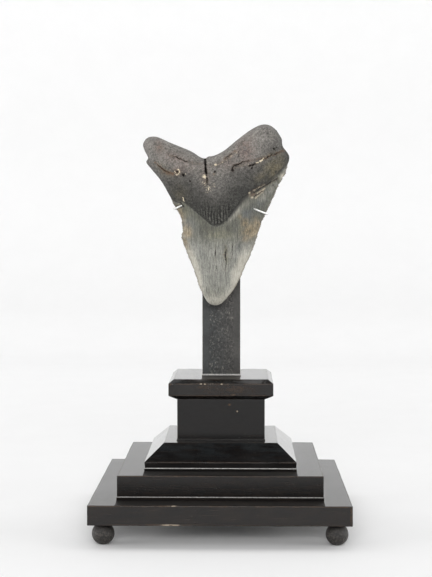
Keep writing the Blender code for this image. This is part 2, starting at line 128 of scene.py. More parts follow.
# Cracks: how deep each is, how dark, how much pale mineral and how much rust lie along it, and
# its points as (x, z, half-width), in millimetres.
CRACKS = [
    (0.4, 0.25, 0.35, 0.4, [(-38.4, 274.6, 0.1), (-36.4, 273.0, 0.2), (-34.6, 272.4, 0.1)]),
    (0.9, 0.75, 0.15, 0.35, [
        (-36.2, 272.8, 0.05), (-32.8, 272.2, 0.15), (-30.3, 270.8, 0.2), (-28.3, 270.1, 0.15),
        (-25.9, 268.8, 0.3), (-23.4, 268.4, 0.1), (-20.6, 267.6, 0.05)]),
    (0.3, 0.35, 0.1, 0.3, [(-20.6, 268.0, 0.05), (-17.0, 267.4, 0.1), (-12.9, 267.4, 0.05)]),
    (0.8, 0.62, 0.1, 1.0, [
        (-47.4, 268.0, 0.05), (-45.4, 266.2, 0.2), (-43.3, 264.2, 0.2), (-41.3, 262.7, 0.25),
        (-39.3, 261.5, 0.2), (-36.4, 260.5, 0.1), (-33.8, 260.0, 0.05)]),
    (1.6, 0.8, 0.1, 0.5, [
        (8.4, 262.4, 0.7), (8.3, 264.0, 0.25), (9.2, 265.4, 0.15), (11.1, 266.2, 0.3),
        (13.0, 267.0, 0.3), (15.4, 268.2, 0.2), (17.6, 268.7, 0.15), (20.4, 269.0, 0.1)]),
    (0.7, 0.55, 0.1, 0.5, [
        (20.4, 269.0, 0.1), (22.8, 269.4, 0.1), (25.3, 270.0, 0.05), (28.0, 270.6, 0.1),
        (30.4, 270.5, 0.1)]),
    (0.9, 0.88, 0.15, 0.8, [
        (30.4, 270.4, 0.05), (33.4, 271.4, 0.2), (35.8, 272.9, 0.25), (38.3, 273.4, 0.15),
        (40.7, 274.7, 0.2), (43.4, 275.9, 0.1), (46.0, 277.0, 0.02)]),
    (0.3, 0.1, 0.3, 0.2, [
        (9.8, 264.6, 0.05), (12.0, 265.6, 0.1), (14.6, 265.4, 0.1), (17.2, 266.2, 0.1),
        (20.0, 266.9, 0.05)]),
    (1.2, 1.0, 0.0, 0.2, [
        (19.6, 265.0, 0.1), (21.4, 266.0, 0.35), (23.6, 266.4, 0.3), (26.0, 267.2, 0.15)]),
    (0.4, 0.0, 1.0, 0.2, [
        (24.4, 267.2, 0.15), (26.6, 268.2, 0.3), (28.8, 269.4, 0.35), (30.8, 270.9, 0.15)]),
    (0.3, 0.45, 0.25, 0.3, [
        (-10.4, 265.9, 0.1), (-7.2, 265.7, 0.1), (-3.9, 265.9, 0.1), (-1.9, 266.9, 0.1)]),
    (0.4, 0.3, 0.62, 0.4, [
        (-3.9, 266.1, 0.1), (-0.6, 267.4, 0.2), (2.6, 269.2, 0.2), (5.6, 271.4, 0.15),
        (9.0, 273.8, 0.2), (12.3, 275.8, 0.1)]),
    (0.5, 0.6, 0.0, 0.6, [
        (2.2, 270.6, 0.1), (5.0, 272.4, 0.25), (8.2, 274.8, 0.15), (11.0, 276.4, 0.05)]),
    (0.6, 0.7, 0.0, 0.0, [(12.7, 276.1, 0.1), (12.8, 273.4, 0.2), (12.7, 270.9, 0.1)]),
    (0.3, 0.1, 0.8, 0.3, [
        (22.7, 247.2, 0.2), (26.5, 249.6, 0.3), (29.4, 251.2, 0.3), (31.8, 252.4, 0.1)]),
    (1.0, 0.9, 0.0, 0.6, [
        (23.6, 245.9, 0.15), (26.2, 247.6, 0.25), (29.2, 249.6, 0.2), (32.9, 251.9, 0.25),
        (36.8, 254.2, 0.2), (41.2, 256.9, 0.15)]),
    (0.3, 0.05, 0.6, 0.3, [(26.4, 246.0, 0.2), (28.8, 247.6, 0.2), (31.6, 249.6, 0.1)]),
    (0.6, 0.9, 0.0, 0.9, [(23.9, 243.6, 0.2), (27.2, 245.6, 0.2), (30.8, 248.0, 0.1)]),
    (0.3, 0.05, 0.7, 0.3, [(24.9, 242.6, 0.2), (27.6, 244.8, 0.25), (30.3, 247.0, 0.1)]),
    (0.7, 0.95, 0.0, 0.2, [
        (3.5, 208.4, 0.02), (3.7, 205.2, 0.08), (3.4, 202.0, 0.35), (3.2, 199.4, 0.35),
        (3.8, 196.8, 0.15), (3.6, 193.6, 0.08), (3.3, 189.7, 0.02)]),
    (0.3, 0.5, 0.1, 0.6, [(1.6, 201.3, 0.05), (2.6, 201.2, 0.2), (4.2, 201.6, 0.05)]),
    (0.3, 0.9, 0.1, 0.1, [
        (-4.1, 206.9, 0.05), (-3.9, 203.8, 0.2), (-4.2, 199.6, 0.15), (-4.0, 197.4, 0.05)]),
    (0.3, 0.8, 0.1, 0.0, [(-3.6, 194.6, 0.05), (-3.4, 192.0, 0.15), (-3.8, 189.6, 0.05)]),
    (0.3, 0.85, 0.1, 0.0, [
        (7.9, 209.2, 0.05), (8.2, 206.4, 0.2), (8.0, 201.7, 0.1), (7.7, 197.6, 0.05)]),
    (0.3, 0.6, 0.1, 0.0, [(1.2, 196.0, 0.05), (1.0, 193.0, 0.15), (1.3, 190.4, 0.05)]),
    (0.3, 0.5, 0.0, 0.0, [(-9.4, 203.0, 0.05), (-9.2, 199.6, 0.1), (-9.5, 196.6, 0.05)]),
    (0.8, 0.9, 0.1, 0.1, [(-10.3, 258.6, 0.3), (-10.0, 255.4, 0.3), (-9.9, 252.1, 0.1)]),
    (0.7, 0.8, 0.0, 0.1, [
        (-35.6, 241.0, 0.1), (-32.4, 239.6, 0.3), (-29.4, 238.8, 0.3), (-27.2, 236.4, 0.2)]),
    (0.5, 0.7, 0.0, 0.1, [(-34.6, 237.4, 0.1), (-31.6, 236.6, 0.2), (-28.4, 235.4, 0.1)]),
    (0.4, 0.0, 0.7, 0.0, [(-27.7, 243.0, 0.02), (-27.4, 241.4, 0.12), (-26.8, 240.0, 0.02)]),
]
CLEFT = [
    (-11.5, 274.0, 0.7), (-11.5, 270.0, 0.55), (-11.3, 267.6, 0.5), (-11.1, 265.1, 0.45),
    (-11.0, 262.7, 0.55), (-10.6, 260.7, 0.6), (-10.3, 259.4, 0.3), (-10.2, 258.4, 0.1),
]
CLEFT_DEPTH = 7.5
# How far the cracks and pits are jagged sideways and upwards.
JAG_ACROSS = 0.55
JAG_UP = 0.75
PITS = [
    (-27.2, 259.0, 0.9, 2.0), (-26.6, 258.0, 0.6, 1.6), (38.2, 277.8, 0.9, 1.2),
    (39.8, 278.8, 0.6, 0.9), (22.4, 263.9, 0.65, 1.1), (8.3, 262.8, 0.95, 2.2),
    (-31.6, 261.1, 0.7, 1.0), (-4.4, 261.4, 0.75, 0.6), (-22.2, 254.6, 0.7, 0.5),
    (40.3, 255.4, 0.5, 0.5), (29.2, 225.2, 0.7, 0.3), (38.0, 252.0, 0.4, 0.2),
    (39.8, 249.4, 0.4, 0.2),
]
# Rings of crust as (x, z, radius).
CRUST_RINGS = [(-31.6, 261.1, 1.7)]

# Chips bitten out of the crown's cutting edges: the side, the height and the size of each one,
# in millimetres as (side, z, depth, half-height).
EDGE_CHIPS = [
    (-1, 226.4, 0.3, 1.2), (-1, 218.2, 0.3, 1.5), (-1, 211.0, 0.3, 1.0), (-1, 205.0, 0.3, 1.2),
    (-1, 190.2, 0.3, 0.9), (1, 262.6, 0.6, 1.0), (1, 257.4, 0.8, 0.9), (1, 252.6, 0.5, 0.9),
    (1, 241.2, 0.3, 1.3), (1, 225.6, 0.35, 0.9), (1, 216.6, 0.3, 1.0), (1, 203.2, 0.3, 1.4),
    (1, 188.4, 0.3, 0.8),
]

# Stains and deposits on the front face as soft ellipses: x, z, half-width, half-height, turn in
# degrees and strength.
STAINS = {
    "cream": [
        (-11.8, 257.6, 1.5, 1.5, 0, 0.75), (-10.4, 259.0, 0.8, 1.2, 0, 0.3),
        (-12.0, 252.4, 2.6, 2.6, 0, 0.33), (-8.8, 248.8, 3.4, 3.4, 20, 0.36),
        (-5.4, 251.0, 2.4, 3.0, 0, 0.24), (-3.9, 266.4, 1.0, 0.8, 0, 1.0),
        (-36.6, 273.2, 1.6, 0.8, -20, 0.2), (20.8, 245.6, 0.8, 1.2, 0, 0.9),
        (22.6, 242.8, 0.8, 0.6, 0, 0.6), (14.4, 265.6, 3.0, 0.4, 16, 0.12),
        (-4.8, 259.4, 0.6, 0.6, 0, 0.4), (44.8, 258.8, 0.6, 1.4, -24, 0.25),
        (-25.6, 259.8, 0.6, 0.6, 0, 0.6),
    ],
    "tan": [
        (-25.4, 217.8, 3.6, 4.6, 4, 1.0), (-26.0, 209.6, 2.0, 5.4, 14, 0.8),
        (-29.6, 230.0, 2.8, 6.4, 14, 0.6), (-22.4, 201.6, 1.6, 6.0, 24, 0.4),
        (22.6, 218.6, 6.6, 5.0, 30, 0.95), (17.4, 224.4, 3.0, 3.0, 30, 0.7),
        (26.8, 222.6, 2.8, 5.4, 22, 0.8), (18.0, 213.2, 3.4, 3.0, 0, 0.5),
        (13.6, 229.0, 1.8, 2.6, 40, 0.35),
    ],
    "olive": [
        (38.4, 263.4, 7.6, 7.4, 30, 1.0), (43.0, 270.0, 4.0, 5.0, 0, 0.6),
        (30.0, 258.0, 6.4, 3.4, 30, 0.6), (34.0, 272.6, 6.0, 2.0, 24, 0.6),
        (-41.0, 262.6, 7.0, 3.4, -40, 0.6), (-30.0, 246.0, 7.0, 6.0, -50, 0.35),
        (-1.4, 215.6, 10.4, 4.6, 0, 0.7), (3.8, 201.2, 1.7, 5.4, 0, 1.4),
        (-3.0, 173.0, 9.0, 5.0, 0, 0.35), (-26.0, 232.0, 4.4, 5.0, 0, 0.5),
        (-6.0, 226.0, 20.0, 3.0, 0, 0.2), (14.6, 218.0, 3.4, 6.0, 0, 0.4),
    ],
    "slate": [
        (18.8, 230.6, 6.4, 4.6, 20, 1.0), (28.4, 239.2, 3.6, 2.6, 40, 1.0),
        (24.0, 233.4, 4.0, 4.4, 46, 0.7), (12.4, 221.8, 3.6, 5.8, -25, 0.4),
        (14.0, 209.4, 2.4, 8.4, -28, 0.5), (-20.0, 223.0, 4.0, 6.4, 26, 0.5),
        (-14.8, 204.4, 2.2, 8.0, 24, 0.35), (40.6, 252.6, 1.4, 1.4, 0, 0.9),
        (34.4, 247.0, 2.4, 3.0, -38, 0.6),
    ],
    "worn": [
        (10.4, 230.6, 1.8, 8.4, -44, 0.5), (18.0, 238.0, 2.0, 4.0, -44, 0.3),
        (30.6, 243.4, 2.4, 4.4, -44, 0.35), (44.6, 258.4, 1.4, 3.4, -24, 0.8),
        (37.6, 249.6, 2.6, 5.0, -36, 0.3), (47.0, 266.0, 0.8, 3.4, -10, 0.5),
    ],
    "rust": [
        (-37.2, 259.9, 5.0, 1.0, -10, 0.6), (-34.6, 259.6, 2.2, 1.2, 0, 0.7),
        (-31.6, 261.0, 3.0, 2.6, 0, 0.6), (23.0, 245.2, 2.4, 1.6, 30, 1.0),
        (14.0, 265.6, 5.6, 1.0, 20, 0.3), (6.0, 272.4, 4.0, 1.2, 40, 0.5),
        (-44.0, 278.4, 4.0, 3.4, -20, 0.25), (-10.8, 255.6, 2.2, 4.0, 0, 0.3),
        (-4.8, 259.6, 0.8, 1.2, 0, 0.6), (28.6, 271.0, 4.0, 0.7, 20, 0.4),
    ],
    "plum": [
        (17.6, 277.6, 6.4, 9.4, 8, 1.0), (6.0, 268.0, 7.0, 5.0, 20, 0.5),
        (-44.6, 280.0, 2.6, 6.4, 4, 0.7), (-34.0, 271.0, 9.0, 4.4, -20, 0.6),
        (-26.0, 265.0, 8.0, 5.0, 0, 0.5), (-12.0, 261.0, 4.0, 8.0, 0, 0.4),
    ],
}
# Widths of the worn, pale bands beside the crown's cutting edges, and how high they reach.
CREAM_EDGE_LEFT = 4.6
CREAM_EDGE_RIGHT = 7.0
CREAM_EDGE_TOP = 212.0
WORN_TIP_TOP = 175.0
# The palest part of the root.
PALE_LOBE = (27.0, 279.0)
PALE_LOBE_RADIUS = 14.0
# Heights between which the enamel darkens on its way up, and its streaks grow.
ENAMEL_DARKENS = (200.0, 224.0)
STREAKS_GROW = (178.0, 204.0)
# How high the tan edges reach on the back.
BACK_TAN_TOP = 262.0
# The middle and radius of the slate patch on the back.
BACK_SLATE = (-4.0, 226.0)
BACK_SLATE_RADIUS = 16.0

# The stand's blocks, whose sides and heights come from the frame, and their own chamfers.
PLINTH_TOP_HALF = 41.25 * MM
PLINTH_LIP = 6.3 * MM
PLINTH_LIP_LEAN = 0.3 * MM
CAP_UNDER_HALF = 32.75 * MM
CAP_TOP_HALF = 34.5 * MM
CAP_UNDER_CHAMFER = 3.0 * MM
CAP_TOP_CHAMFER = 2.9 * MM
BASE_DROP = 0.6 * MM
# How far the level edges of each block are rubbed, from the bottom up.
BLOCK_RUB = {
    "base_slab": (0.45, 0.85),
    "middle_step": (0.0, 0.85),
    "bevelled_plinth": (0.0, 0.3, 0.25),
    "pedestal_block": (0.0, 0.1),
    "cap": (0.1, 0.4, 0.5, 0.3),
}

# Rubbed and chipped places on the blocks' front faces, in millimetres: x, z, half-width,
# half-height and strength.
BLOCK_SPOTS = {
    "base_slab": [
        (-34.5, 15.6, 9.5, 0.8, 1.0), (-44.0, 15.6, 12.0, 0.7, 0.6), (-33.0, 29.0, 4.0, 0.5, 0.9),
        (-38.0, 29.0, 10.0, 0.7, 0.8), (-66.0, 29.1, 2.5, 0.4, 0.6), (-86.0, 29.0, 7.0, 1.0, 0.7),
        (86.0, 29.0, 6.0, 1.0, 0.8), (36.0, 29.0, 16.0, 0.6, 0.5), (91.0, 22.0, 1.2, 8.0, 0.6)],
    "middle_step": [(-20.0, 46.2, 22.0, 0.7, 0.5), (44.0, 46.2, 12.0, 0.6, 0.5)],
    "cap": [
        (-14.6, 107.3, 1.1, 0.6, 0.85), (-11.6, 107.2, 0.8, 0.5, 0.9), (-6.6, 107.4, 1.5, 0.7, 1.0),
        (0.6, 107.2, 1.0, 0.6, 1.0), (-25.0, 107.2, 9.0, 0.5, 0.6), (11.0, 103.4, 9.0, 3.4, 0.35),
        (9.0, 99.4, 2.4, 1.0, 0.8), (-12.0, 105.0, 7.0, 1.6, 0.3), (-36.8, 107.0, 1.0, 1.0, 0.8),
        (5.0, 103.0, 30.0, 6.0, 0.13)],
    "pedestal_block": [(6.2, 91.4, 1.5, 1.1, 0.8), (11.6, 86.4, 1.0, 0.8, 0.85)],
    "bevelled_plinth": [],
}
CHIPPED = 0.8                 # spots stronger than this are bare wood

# How thickly each block is polished on its treads and bevels and on its upright faces, how far
# above its foot the polish on them gets its full thickness in millimetres, how strongly the line
# round its foot is painted pale as a painted highlight and how browned the upright faces are.
POLISH = {
    "base_slab": (0.25, 0.66, 0.0, 0.0, 0.09),
    "middle_step": (0.25, 0.66, 19.0, 0.8, 0.05),
    "bevelled_plinth": (0.85, 0.35, 0.0, 1.0, 0.0),
    "pedestal_block": (0.6, 0.45, 6.0, 0.06, 0.0),
    "cap": (0.6, 0.55, 0.0, 0.0, 0.05),
}

# Distances from the middle of the post's faces, in millimetres, over which its flecks fade out
# and its corners begin to be rubbed.
POST_FLECKS_END = (8.0, 10.5)
POST_CORNER = (12.9, 13.9)

# Heights of the thin strips round the feet of the blocks and the post, and how far their tops
# slope.
STRIPS = {
    "middle_step": 2.1 * MM, "bevelled_plinth": 1.85 * MM, "pedestal_block": 0.8 * MM,
    "post": 1.1 * MM,
}
STRIP_SLOPE = 0.3 * MM
ROUNDED_FOOT_POINTS = 4       # points of a rounded profile that a strip takes the place of
NO_STRIP = -1.0               # puts the painted highlight line of a block without a strip out of sight

# What stands on each block, and how much dust is painted on the strips of its treads in front of
# and behind that, which are also made dull. Elsewhere the dust is 0.1; the thinner dust on the base
# and the step darkens those strips as a painted dark reflection of the block standing on them.
STANDING = {
    "base_slab": ("middle_step", 0.04), "middle_step": ("bevelled_plinth", 0.04), "cap": ("post", 0.24),
}
NOTHING_STANDS = (1000.0, 0.0)

# A block as its finish sees it, in millimetres: its half-width, its level edges as (half-width,
# height, rub), its spots, the height of its painted highlight line, the half-width of what stands
# on it, the dust painted on the treads in front of and behind that and its entry in POLISH.
Block = namedtuple("Block", "half_width arrises spots joint standing dusting polish")

# The swept body's inputs for a round section.
ROUND = {"Corner": 1.0, "Side Cuts": 0}

# The gap between the claws' wires and the tooth.
WIRE_GAP = 0.25 * MM
# Each claw: its node, its side, where it bends round the tooth's edge and where it ends.
CLAWS = (
    ("claw_left", -1, (-33.2 * MM, 235.0 * MM), (-28.2 * MM, 237.3 * MM)),
    ("claw_right", 1, (32.7 * MM, 231.2 * MM), (23.7 * MM, 234.8 * MM)),
)
# The bracket: how far the plate's edges are eased, how deep the screws' slots are cut, and how
# far the upper and the lower one are turned.
PLATE_EASE = 0.3 * MM
SLOT_DEPTH = 0.55 * MM
SLOT_TURNS = (0.5, 1.9)
# Parts of a screw's head as shares of its radius, and its dome's share of its height.
SLOT_HALF_LENGTH = 1.2
SLOT_HALF_WIDTH = 0.12
DOME_MIDDLE = 0.12
DOME_RISE = 0.65

# The stage, in metres: the floor's front end, where it turns up, the turn's radius, the wall's
# top and half the width.
FLOOR_FRONT = -2.4
FLOOR_TURN = 1.1
TURN_RADIUS = 0.7
WALL_TOP = 2.8
STAGE_HALF_WIDTH = 3.2

# The camera, in metres and degrees: a long lens a metre in front of the object, a little above
# its middle, looking down a little and turned a degree to the left.
CAMERA_PLACE = (0.014, -1.022, 0.2276)
CAMERA_DOWN = 2.95
CAMERA_TURN = 1.02
LENS_LENGTH = 84.81
SENSOR_WIDTH = 36.0


def clip01(value):
    return np.clip(value, 0.0, 1.0)


def smooth_step(value):
    value = clip01(value)
    return value * value * (3.0 - 2.0 * value)


def quarter_round(value):
    """Rises from 0 to 1 as the side of an ellipse does."""
    return np.sqrt(1.0 - (1.0 - clip01(value)) ** 2)


def bell(distance, width):
    return np.exp(-((distance / width) ** 2))


def curve_through(points, fractions):
    """Points at fractions of the length of a smooth curve through the given points."""
    knots = np.array(points, dtype=float)
    knots = np.vstack([2 * knots[0] - knots[1], knots, 2 * knots[-1] - knots[-2]])
    t = np.linspace(0.0, 1.0, 8, endpoint=False)[:, None]
    pieces = []
    for a, b, c, d in zip(knots, knots[1:], knots[2:], knots[3:]):
        bend = 2 * a - 5 * b + 4 * c - d
        twist = 3 * b - a - 3 * c + d
        pieces.append(b + 0.5 * (t * (c - a) + t ** 2 * bend + t ** 3 * twist))
    path = np.vstack(pieces + [knots[-2:-1]])
    lengths = np.concatenate([[0.0], np.cumsum(np.linalg.norm(np.diff(path, axis=0), axis=1))])
    wanted = np.asarray(fractions) * lengths[-1]
    return np.stack([np.interp(wanted, lengths, path[:, k]) for k in range(path.shape[1])], axis=-1)


def near_path(x, z, path):
    """The distance to a path of (x, z) or (x, z, half-width) points, and the half-width there."""
    nearest = np.full(x.shape, np.inf)
    width = np.zeros(x.shape)
    for start, end in zip(path, path[1:]):
        run, rise = end[0] - start[0], end[1] - start[1]
        square = run * run + rise * rise
        if square == 0.0:
            continue
        along = clip01(((x - start[0]) * run + (z - start[1]) * rise) / square)
        distance = np.hypot(x - start[0] - along * run, z - start[1] - along * rise)
        closer = distance < nearest
        nearest = np.where(closer, distance, nearest)
        if len(start) > 2:
            width = np.where(closer, start[2] + along * (end[2] - start[2]), width)
    return nearest, width


def noise_field(x, z, size, seed):
    """Smooth noise between about -1 and 1 whose lumps are `size` millimetres across."""
    points = zip((x / size).flat, (z / size).flat)
    values = [noise.noise(Vector((across, seed, up))) for across, up in points]
    return np.array(values).reshape(x.shape)


def spread(count):
    """Fractions from 0 to 1 that lie closer together at both ends."""
    t = np.linspace(0.0, 1.0, count + 1)
    return (1.0 - CROWDING) * t + CROWDING * (1.0 - np.cos(math.pi * t)) / 2


def soft_ellipses(x, z, ellipses):
    """How strongly each point is covered by any of the soft ellipses."""
    cover = np.zeros(x.shape)
    for centre_x, centre_z, half_width, half_height, turn, strength in ellipses:
        angle = math.radians(turn)
        across = (x - centre_x) * math.cos(angle) + (z - centre_z) * math.sin(angle)
        along = (z - centre_z) * math.cos(angle) - (x - centre_x) * math.sin(angle)
        cover = np.maximum(cover, strength * bell(np.hypot(across / half_width, along / half_height), 1.0))
    return cover


def chipped_edge(points, fractions, side):
    """A cutting edge with its chips; side is -1 on the left and 1 on the right."""
    path = curve_through(points, fractions)
    z = path[:, 1]
    level = np.zeros(z.shape)
    inward = level.copy()
    for chip_side, chip_z, depth, half_height in EDGE_CHIPS:
        if chip_side == side:
            inward = np.maximum(inward, depth * bell(z - chip_z, half_height))
    crown = smooth_step((CROWN_TOPS[side] - z) / 4.0) * smooth_step((z - TIP_TOP) / 6.0)
    inward += EDGE_RIPPLE * crown * noise_field(z, level, 2.1, 4.0 + side)
    inward += EDGE_WAVER * noise_field(z, level, 6.0, 9.0 + side)
    path[:, 0] -= side * inward
    return path


def tooth_grid():
    """The outline's inside as a grid of (x, z), with its own across and down fractions."""
    across = spread(COLUMNS)
    down = spread(ROWS)
    top = curve_through(TOP_EDGE, across)[None, :, :]
    tip = curve_through(TIP_EDGE, across)[None, :, :]
    left = chipped_edge(LEFT_EDGE, down, -1)[:, None, :]
    right = chipped_edge(RIGHT_EDGE, down, 1)[:, None, :]
    left[0], left[-1] = top[0, 0], tip[0, 0]
    right[0], right[-1] = top[0, -1], tip[0, -1]
    u = across[None, :, None]
    v = down[:, None, None]
    corners = (
        (1 - v) * ((1 - u) * top[:, :1] + u * top[:, -1:])
        + v * ((1 - u) * tip[:, :1] + u * tip[:, -1:])
    )
    grid = (1 - v) * top + v * tip + (1 - u) * left + u * right - corners
    u, v = np.meshgrid(across, down)
    return grid[:, :, 0], grid[:, :, 1], u, v


def tooth_distances(x, z):
    """The distance to the outline, and how far a point lies above the front and back borders."""
    fine = np.linspace(0.0, 1.0, 80)
    outline = np.vstack([
        curve_through(LEFT_EDGE, fine)[::-1],
        curve_through(TOP_EDGE, fine),
        curve_through(RIGHT_EDGE, fine),
        curve_through(TIP_EDGE, fine)[::-1],
    ])
    border = curve_through(ROOT_BORDER, fine)
    edge = near_path(x, z, outline)[0]
    side = np.sign(z - np.interp(x, border[:, 0], border[:, 1]))
    above = side * near_path(x, z, border)[0]
    above_back = z - np.interp(x, *zip(*BACK_BORDER))
    return edge, above, above_back


def crack_fields(x, z):
    """How deep the cracks and pits cut, and the shares of dark, pale mineral and rust in them."""
    depth = np.zeros(x.shape)
    dark, chalk, rust = depth.copy(), depth.copy(), depth.copy()
    jagged_x = x + JAG_ACROSS * noise_field(x, z, 1.3, 51.0)
    jagged_z = z + JAG_UP * noise_field(x, z, 1.5, 57.0)
    wander = 1.0 + 0.9 * noise_field(x, z, 1.6, 7.0)
    patches = smooth_step(0.55 + 1.3 * noise_field(x, z, 1.4, 63.0))
    for crack_depth, darkness, mineral, iron, points in CRACKS:
        path = curve_through(points, np.linspace(0.0, 1.0, 30))
        distance, width = near_path(jagged_x, jagged_z, path)
        share = bell(distance, np.maximum(width * wander, 0.04) + 0.22)
        share *= clip01(0.35 + 3.0 * width)
        depth = np.maximum(depth, crack_depth * share)
        dark = np.maximum(dark, darkness * share)
        beside = near_path(jagged_x, jagged_z + 0.3, path)[0]
        chalk = np.maximum(chalk, mineral * bell(beside, 0.45) * (0.3 + 0.7 * patches))
        rust = np.maximum(rust, iron * bell(distance, 0.8) * (0.4 + 0.6 * patches))
    for ring_x, ring_z, radius in CRUST_RINGS:
        off_ring = np.hypot(jagged_x - ring_x, jagged_z - ring_z) - radius
        chalk = np.maximum(chalk, 0.7 * bell(off_ring, 0.6) * (0.4 + 0.6 * patches))
    for pit_x, pit_z, radius, pit_depth in PITS:
        share = bell(np.hypot(jagged_x - pit_x, jagged_z - pit_z), radius)
        depth = np.maximum(depth, pit_depth * share)
        dark = np.maximum(dark, share)
    distance, width = near_path(x + 0.5 * (jagged_x - x), z, CLEFT)
    share = smooth_step((width - distance) / 0.5 + 0.5)
    depth = np.maximum(depth, CLEFT_DEPTH * share)
    dark = np.maximum(dark, share)
    return depth, {"crack": dark, "cream": chalk * (1.0 - dark), "rust": rust}


def tooth_depths(x, z, u, v, edge, above, above_back, crack_depth):
    """How far the tooth reaches in front of its middle plane and behind it, in millimetres."""
    across = 1.0 - (2.0 * u - 1.0) ** 2
    tip = quarter_round((1.0 - v) / 0.06)
    crown_front = np.interp(z, *zip(*CROWN_FRONT)) * across ** 0.75 * tip
    crown_back = CROWN_BACK * across ** 0.6 * tip

    root = smooth_step(above / ROOT_BLEND)
    rim = quarter_round(edge / ROOT_EDGE_ROUND)
    from_boss = np.hypot(x - BOSS_CENTRE[0], (z - BOSS_CENTRE[1]) * 1.15)
    root_front = (ROOT_FRONT + BOSS_RISE * bell(from_boss, BOSS_RADIUS)) * rim

    rim_fade = clip01(edge / 3.0)
    ledge_share = 0.35 + 0.65 * smooth_step((x - 4.0) / 8.0)
    ledge_wander = 0.5 * noise_field(x, z, 3.0, 21.0)
    ledge = LEDGE_RISE * ledge_share * smooth_step((above + ledge_wander) / 1.1) * rim_fade
    collar = collar_cover(x, z, above)
    flutes = FLUTE_RISE * (collar_flutes(x, z, above) - FLUTE_MEAN) * collar
    lumps = LUMP_RISE * noise_field(x, z, 9.0, 3.0) * root * rim_fade
    ripples = RIPPLE_RISE * noise_field(x, z * 0.12, 3.2, 12.0) * (1 - root) * rim_fade
    front = crown_front * (1 - root) + root_front * root + ledge + lumps + ripples
    front += flutes - COLLAR_RECESS * collar
    front -= np.minimum(crack_depth, front * 0.8)

    back_root = smooth_step(above_back / ROOT_BLEND + 0.5)
    back_ledge = BACK_LEDGE_RISE * smooth_step(above_back / 2.0 + 0.5) * rim_fade
    back_lumps = BACK_LUMP_RISE * noise_field(x, z, 7.0, 31.0) * back_root * rim_fade
    back = crown_back * (1 - back_root) + ROOT_BACK * rim * back_root + back_ledge + back_lumps
    return np.maximum(front, LEAST_DEPTH), np.maximum(back, LEAST_DEPTH)


def hatching(x, z):
    """Short upright marks, from about -1 to 1."""
    return noise_field(x, z * 0.28, 1.2, 81.0)


def collar_cover(x, z, above):
    """The dark, fluted band under the middle of the root: 1 inside it and 0 away from it."""
    reach = COLLAR_HEIGHT + COLLAR_SWELL * bell(x - COLLAR_MIDDLE, 10.0)
    inside = smooth_step((above + 0.7 + 0.8 * hatching(x, z)) / 1.2)
    inside *= 1.0 - smooth_step((above - reach) / 9.0 + 0.5)
    return inside * smooth_step((x - COLLAR_LEFT) / 11.0) * smooth_step((COLLAR_RIGHT - x) / 8.0)


def collar_flutes(x, z, above):
    """The collar's upright ridges: 1 on a ridge, 0 in a groove and FLUTE_MEAN away from them."""
    wobble = 1.1 * noise_field(x, z * 0.5, 4.0, 71.0)
    ridge = 0.5 + 0.5 * np.sin(2.0 * math.pi * (x + wobble) / FLUTE_PITCH)
    strength = smooth_step(0.8 + 0.8 * noise_field(x, z * 0.4, 3.0, 77.0))
    strength = strength * smooth_step((above - 1.0) / 1.6) * (1.0 - smooth_step((above - 6.0) / 6.0))
    strength = strength * bell(x - FLUTES_MIDDLE, FLUTES_WIDTH) * (0.65 + 0.7 * noise_field(x, z, 2.0, 85.0))
    return FLUTE_MEAN + strength * (ridge ** 1.3 - FLUTE_MEAN)


def front_marks(x, z, edge, above, crack_marks):
    """The shares from 0 to 1 by which the front face's colours are mixed."""
    wide = np.where(x < BOSS_CENTRE[0], CREAM_EDGE_LEFT, CREAM_EDGE_RIGHT)
    band = wide * (0.35 + 0.65 * smooth_step((z - 172.0) / 20.0))
    low = smooth_step((CREAM_EDGE_TOP - z) / 14.0)
    marks = {name: soft_ellipses(x, z, ellipses) for name, ellipses in STAINS.items()}
    for name, share in crack_marks.items():
        marks[name] = np.maximum(marks.get(name, share), share)
    ragged = 1.3 * noise_field(x, z * 0.5, 3.0, 91.0)
    marks["worn"] = np.maximum(marks["worn"], smooth_step((band - edge + ragged) / 5.0 + 0.5) * low)
    marks["worn"] = np.maximum(marks["worn"], 0.75 * smooth_step((WORN_TIP_TOP - z) / 8.0))
    marks["root"] = smooth_step((above + 0.4 * hatching(x, z)) / 0.8 + 0.5)
    pale_lobe = bell(np.hypot(x - PALE_LOBE[0], z - PALE_LOBE[1]), PALE_LOBE_RADIUS)
    marks["lobe"] = smooth_step((above - 2.0) / 38.0) + 0.32 * pale_lobe
    marks["collar"] = collar_cover(x, z, above)
    marks["flute"] = collar_flutes(x, z, above)
    # Painted shade: a dark line under the root's overhanging rim on the right, and a fainter one along the
    # root's outline.
    marks["under"] = bell(above + 0.4, 0.9) * smooth_step((x - 3.0) / 6.0)
    marks["under"] = np.maximum(marks["under"], 0.4 * bell(edge - 0.3, 0.6) * smooth_step(above / 4.0))
    # The brown line along the cutting edges is partly their own brown and partly painted shade along the
    # edge.
    marks["fringe"] = bell(edge, 0.75) * (1.0 - marks["root"]) * smooth_step((z - 166.0) / 10.0)
    return marks


def back_marks(x, z, edge, above_back):
    """The same shares for the back face, which has no collar."""
    nothing = np.zeros(x.shape)
    low = smooth_step((CREAM_EDGE_TOP - z) / 14.0)
    marks = dict.fromkeys(("cream", "rust", "plum", "olive", "collar", "flute", "crack", "under"), nothing)
    marks["worn"] = smooth_step((5.0 - edge) / 3.0 + 0.5) * low * 0.9
    # Partly the edges' own brown and partly painted shade along them.
    marks["fringe"] = bell(edge, 0.75) * 0.8
    marks["tan"] = 0.6 * smooth_step((4.0 - edge) / 4.0 + 0.5) * (1 - smooth_step((z - BACK_TAN_TOP) / 10.0))
    marks["slate"] = bell(np.hypot(x - BACK_SLATE[0], (z - BACK_SLATE[1]) / 1.6), BACK_SLATE_RADIUS) * 0.7
    marks["root"] = smooth_step(above_back / 0.9 + 0.5)
    marks["lobe"] = smooth_step((above_back + 4.0) / 34.0)
    return marks


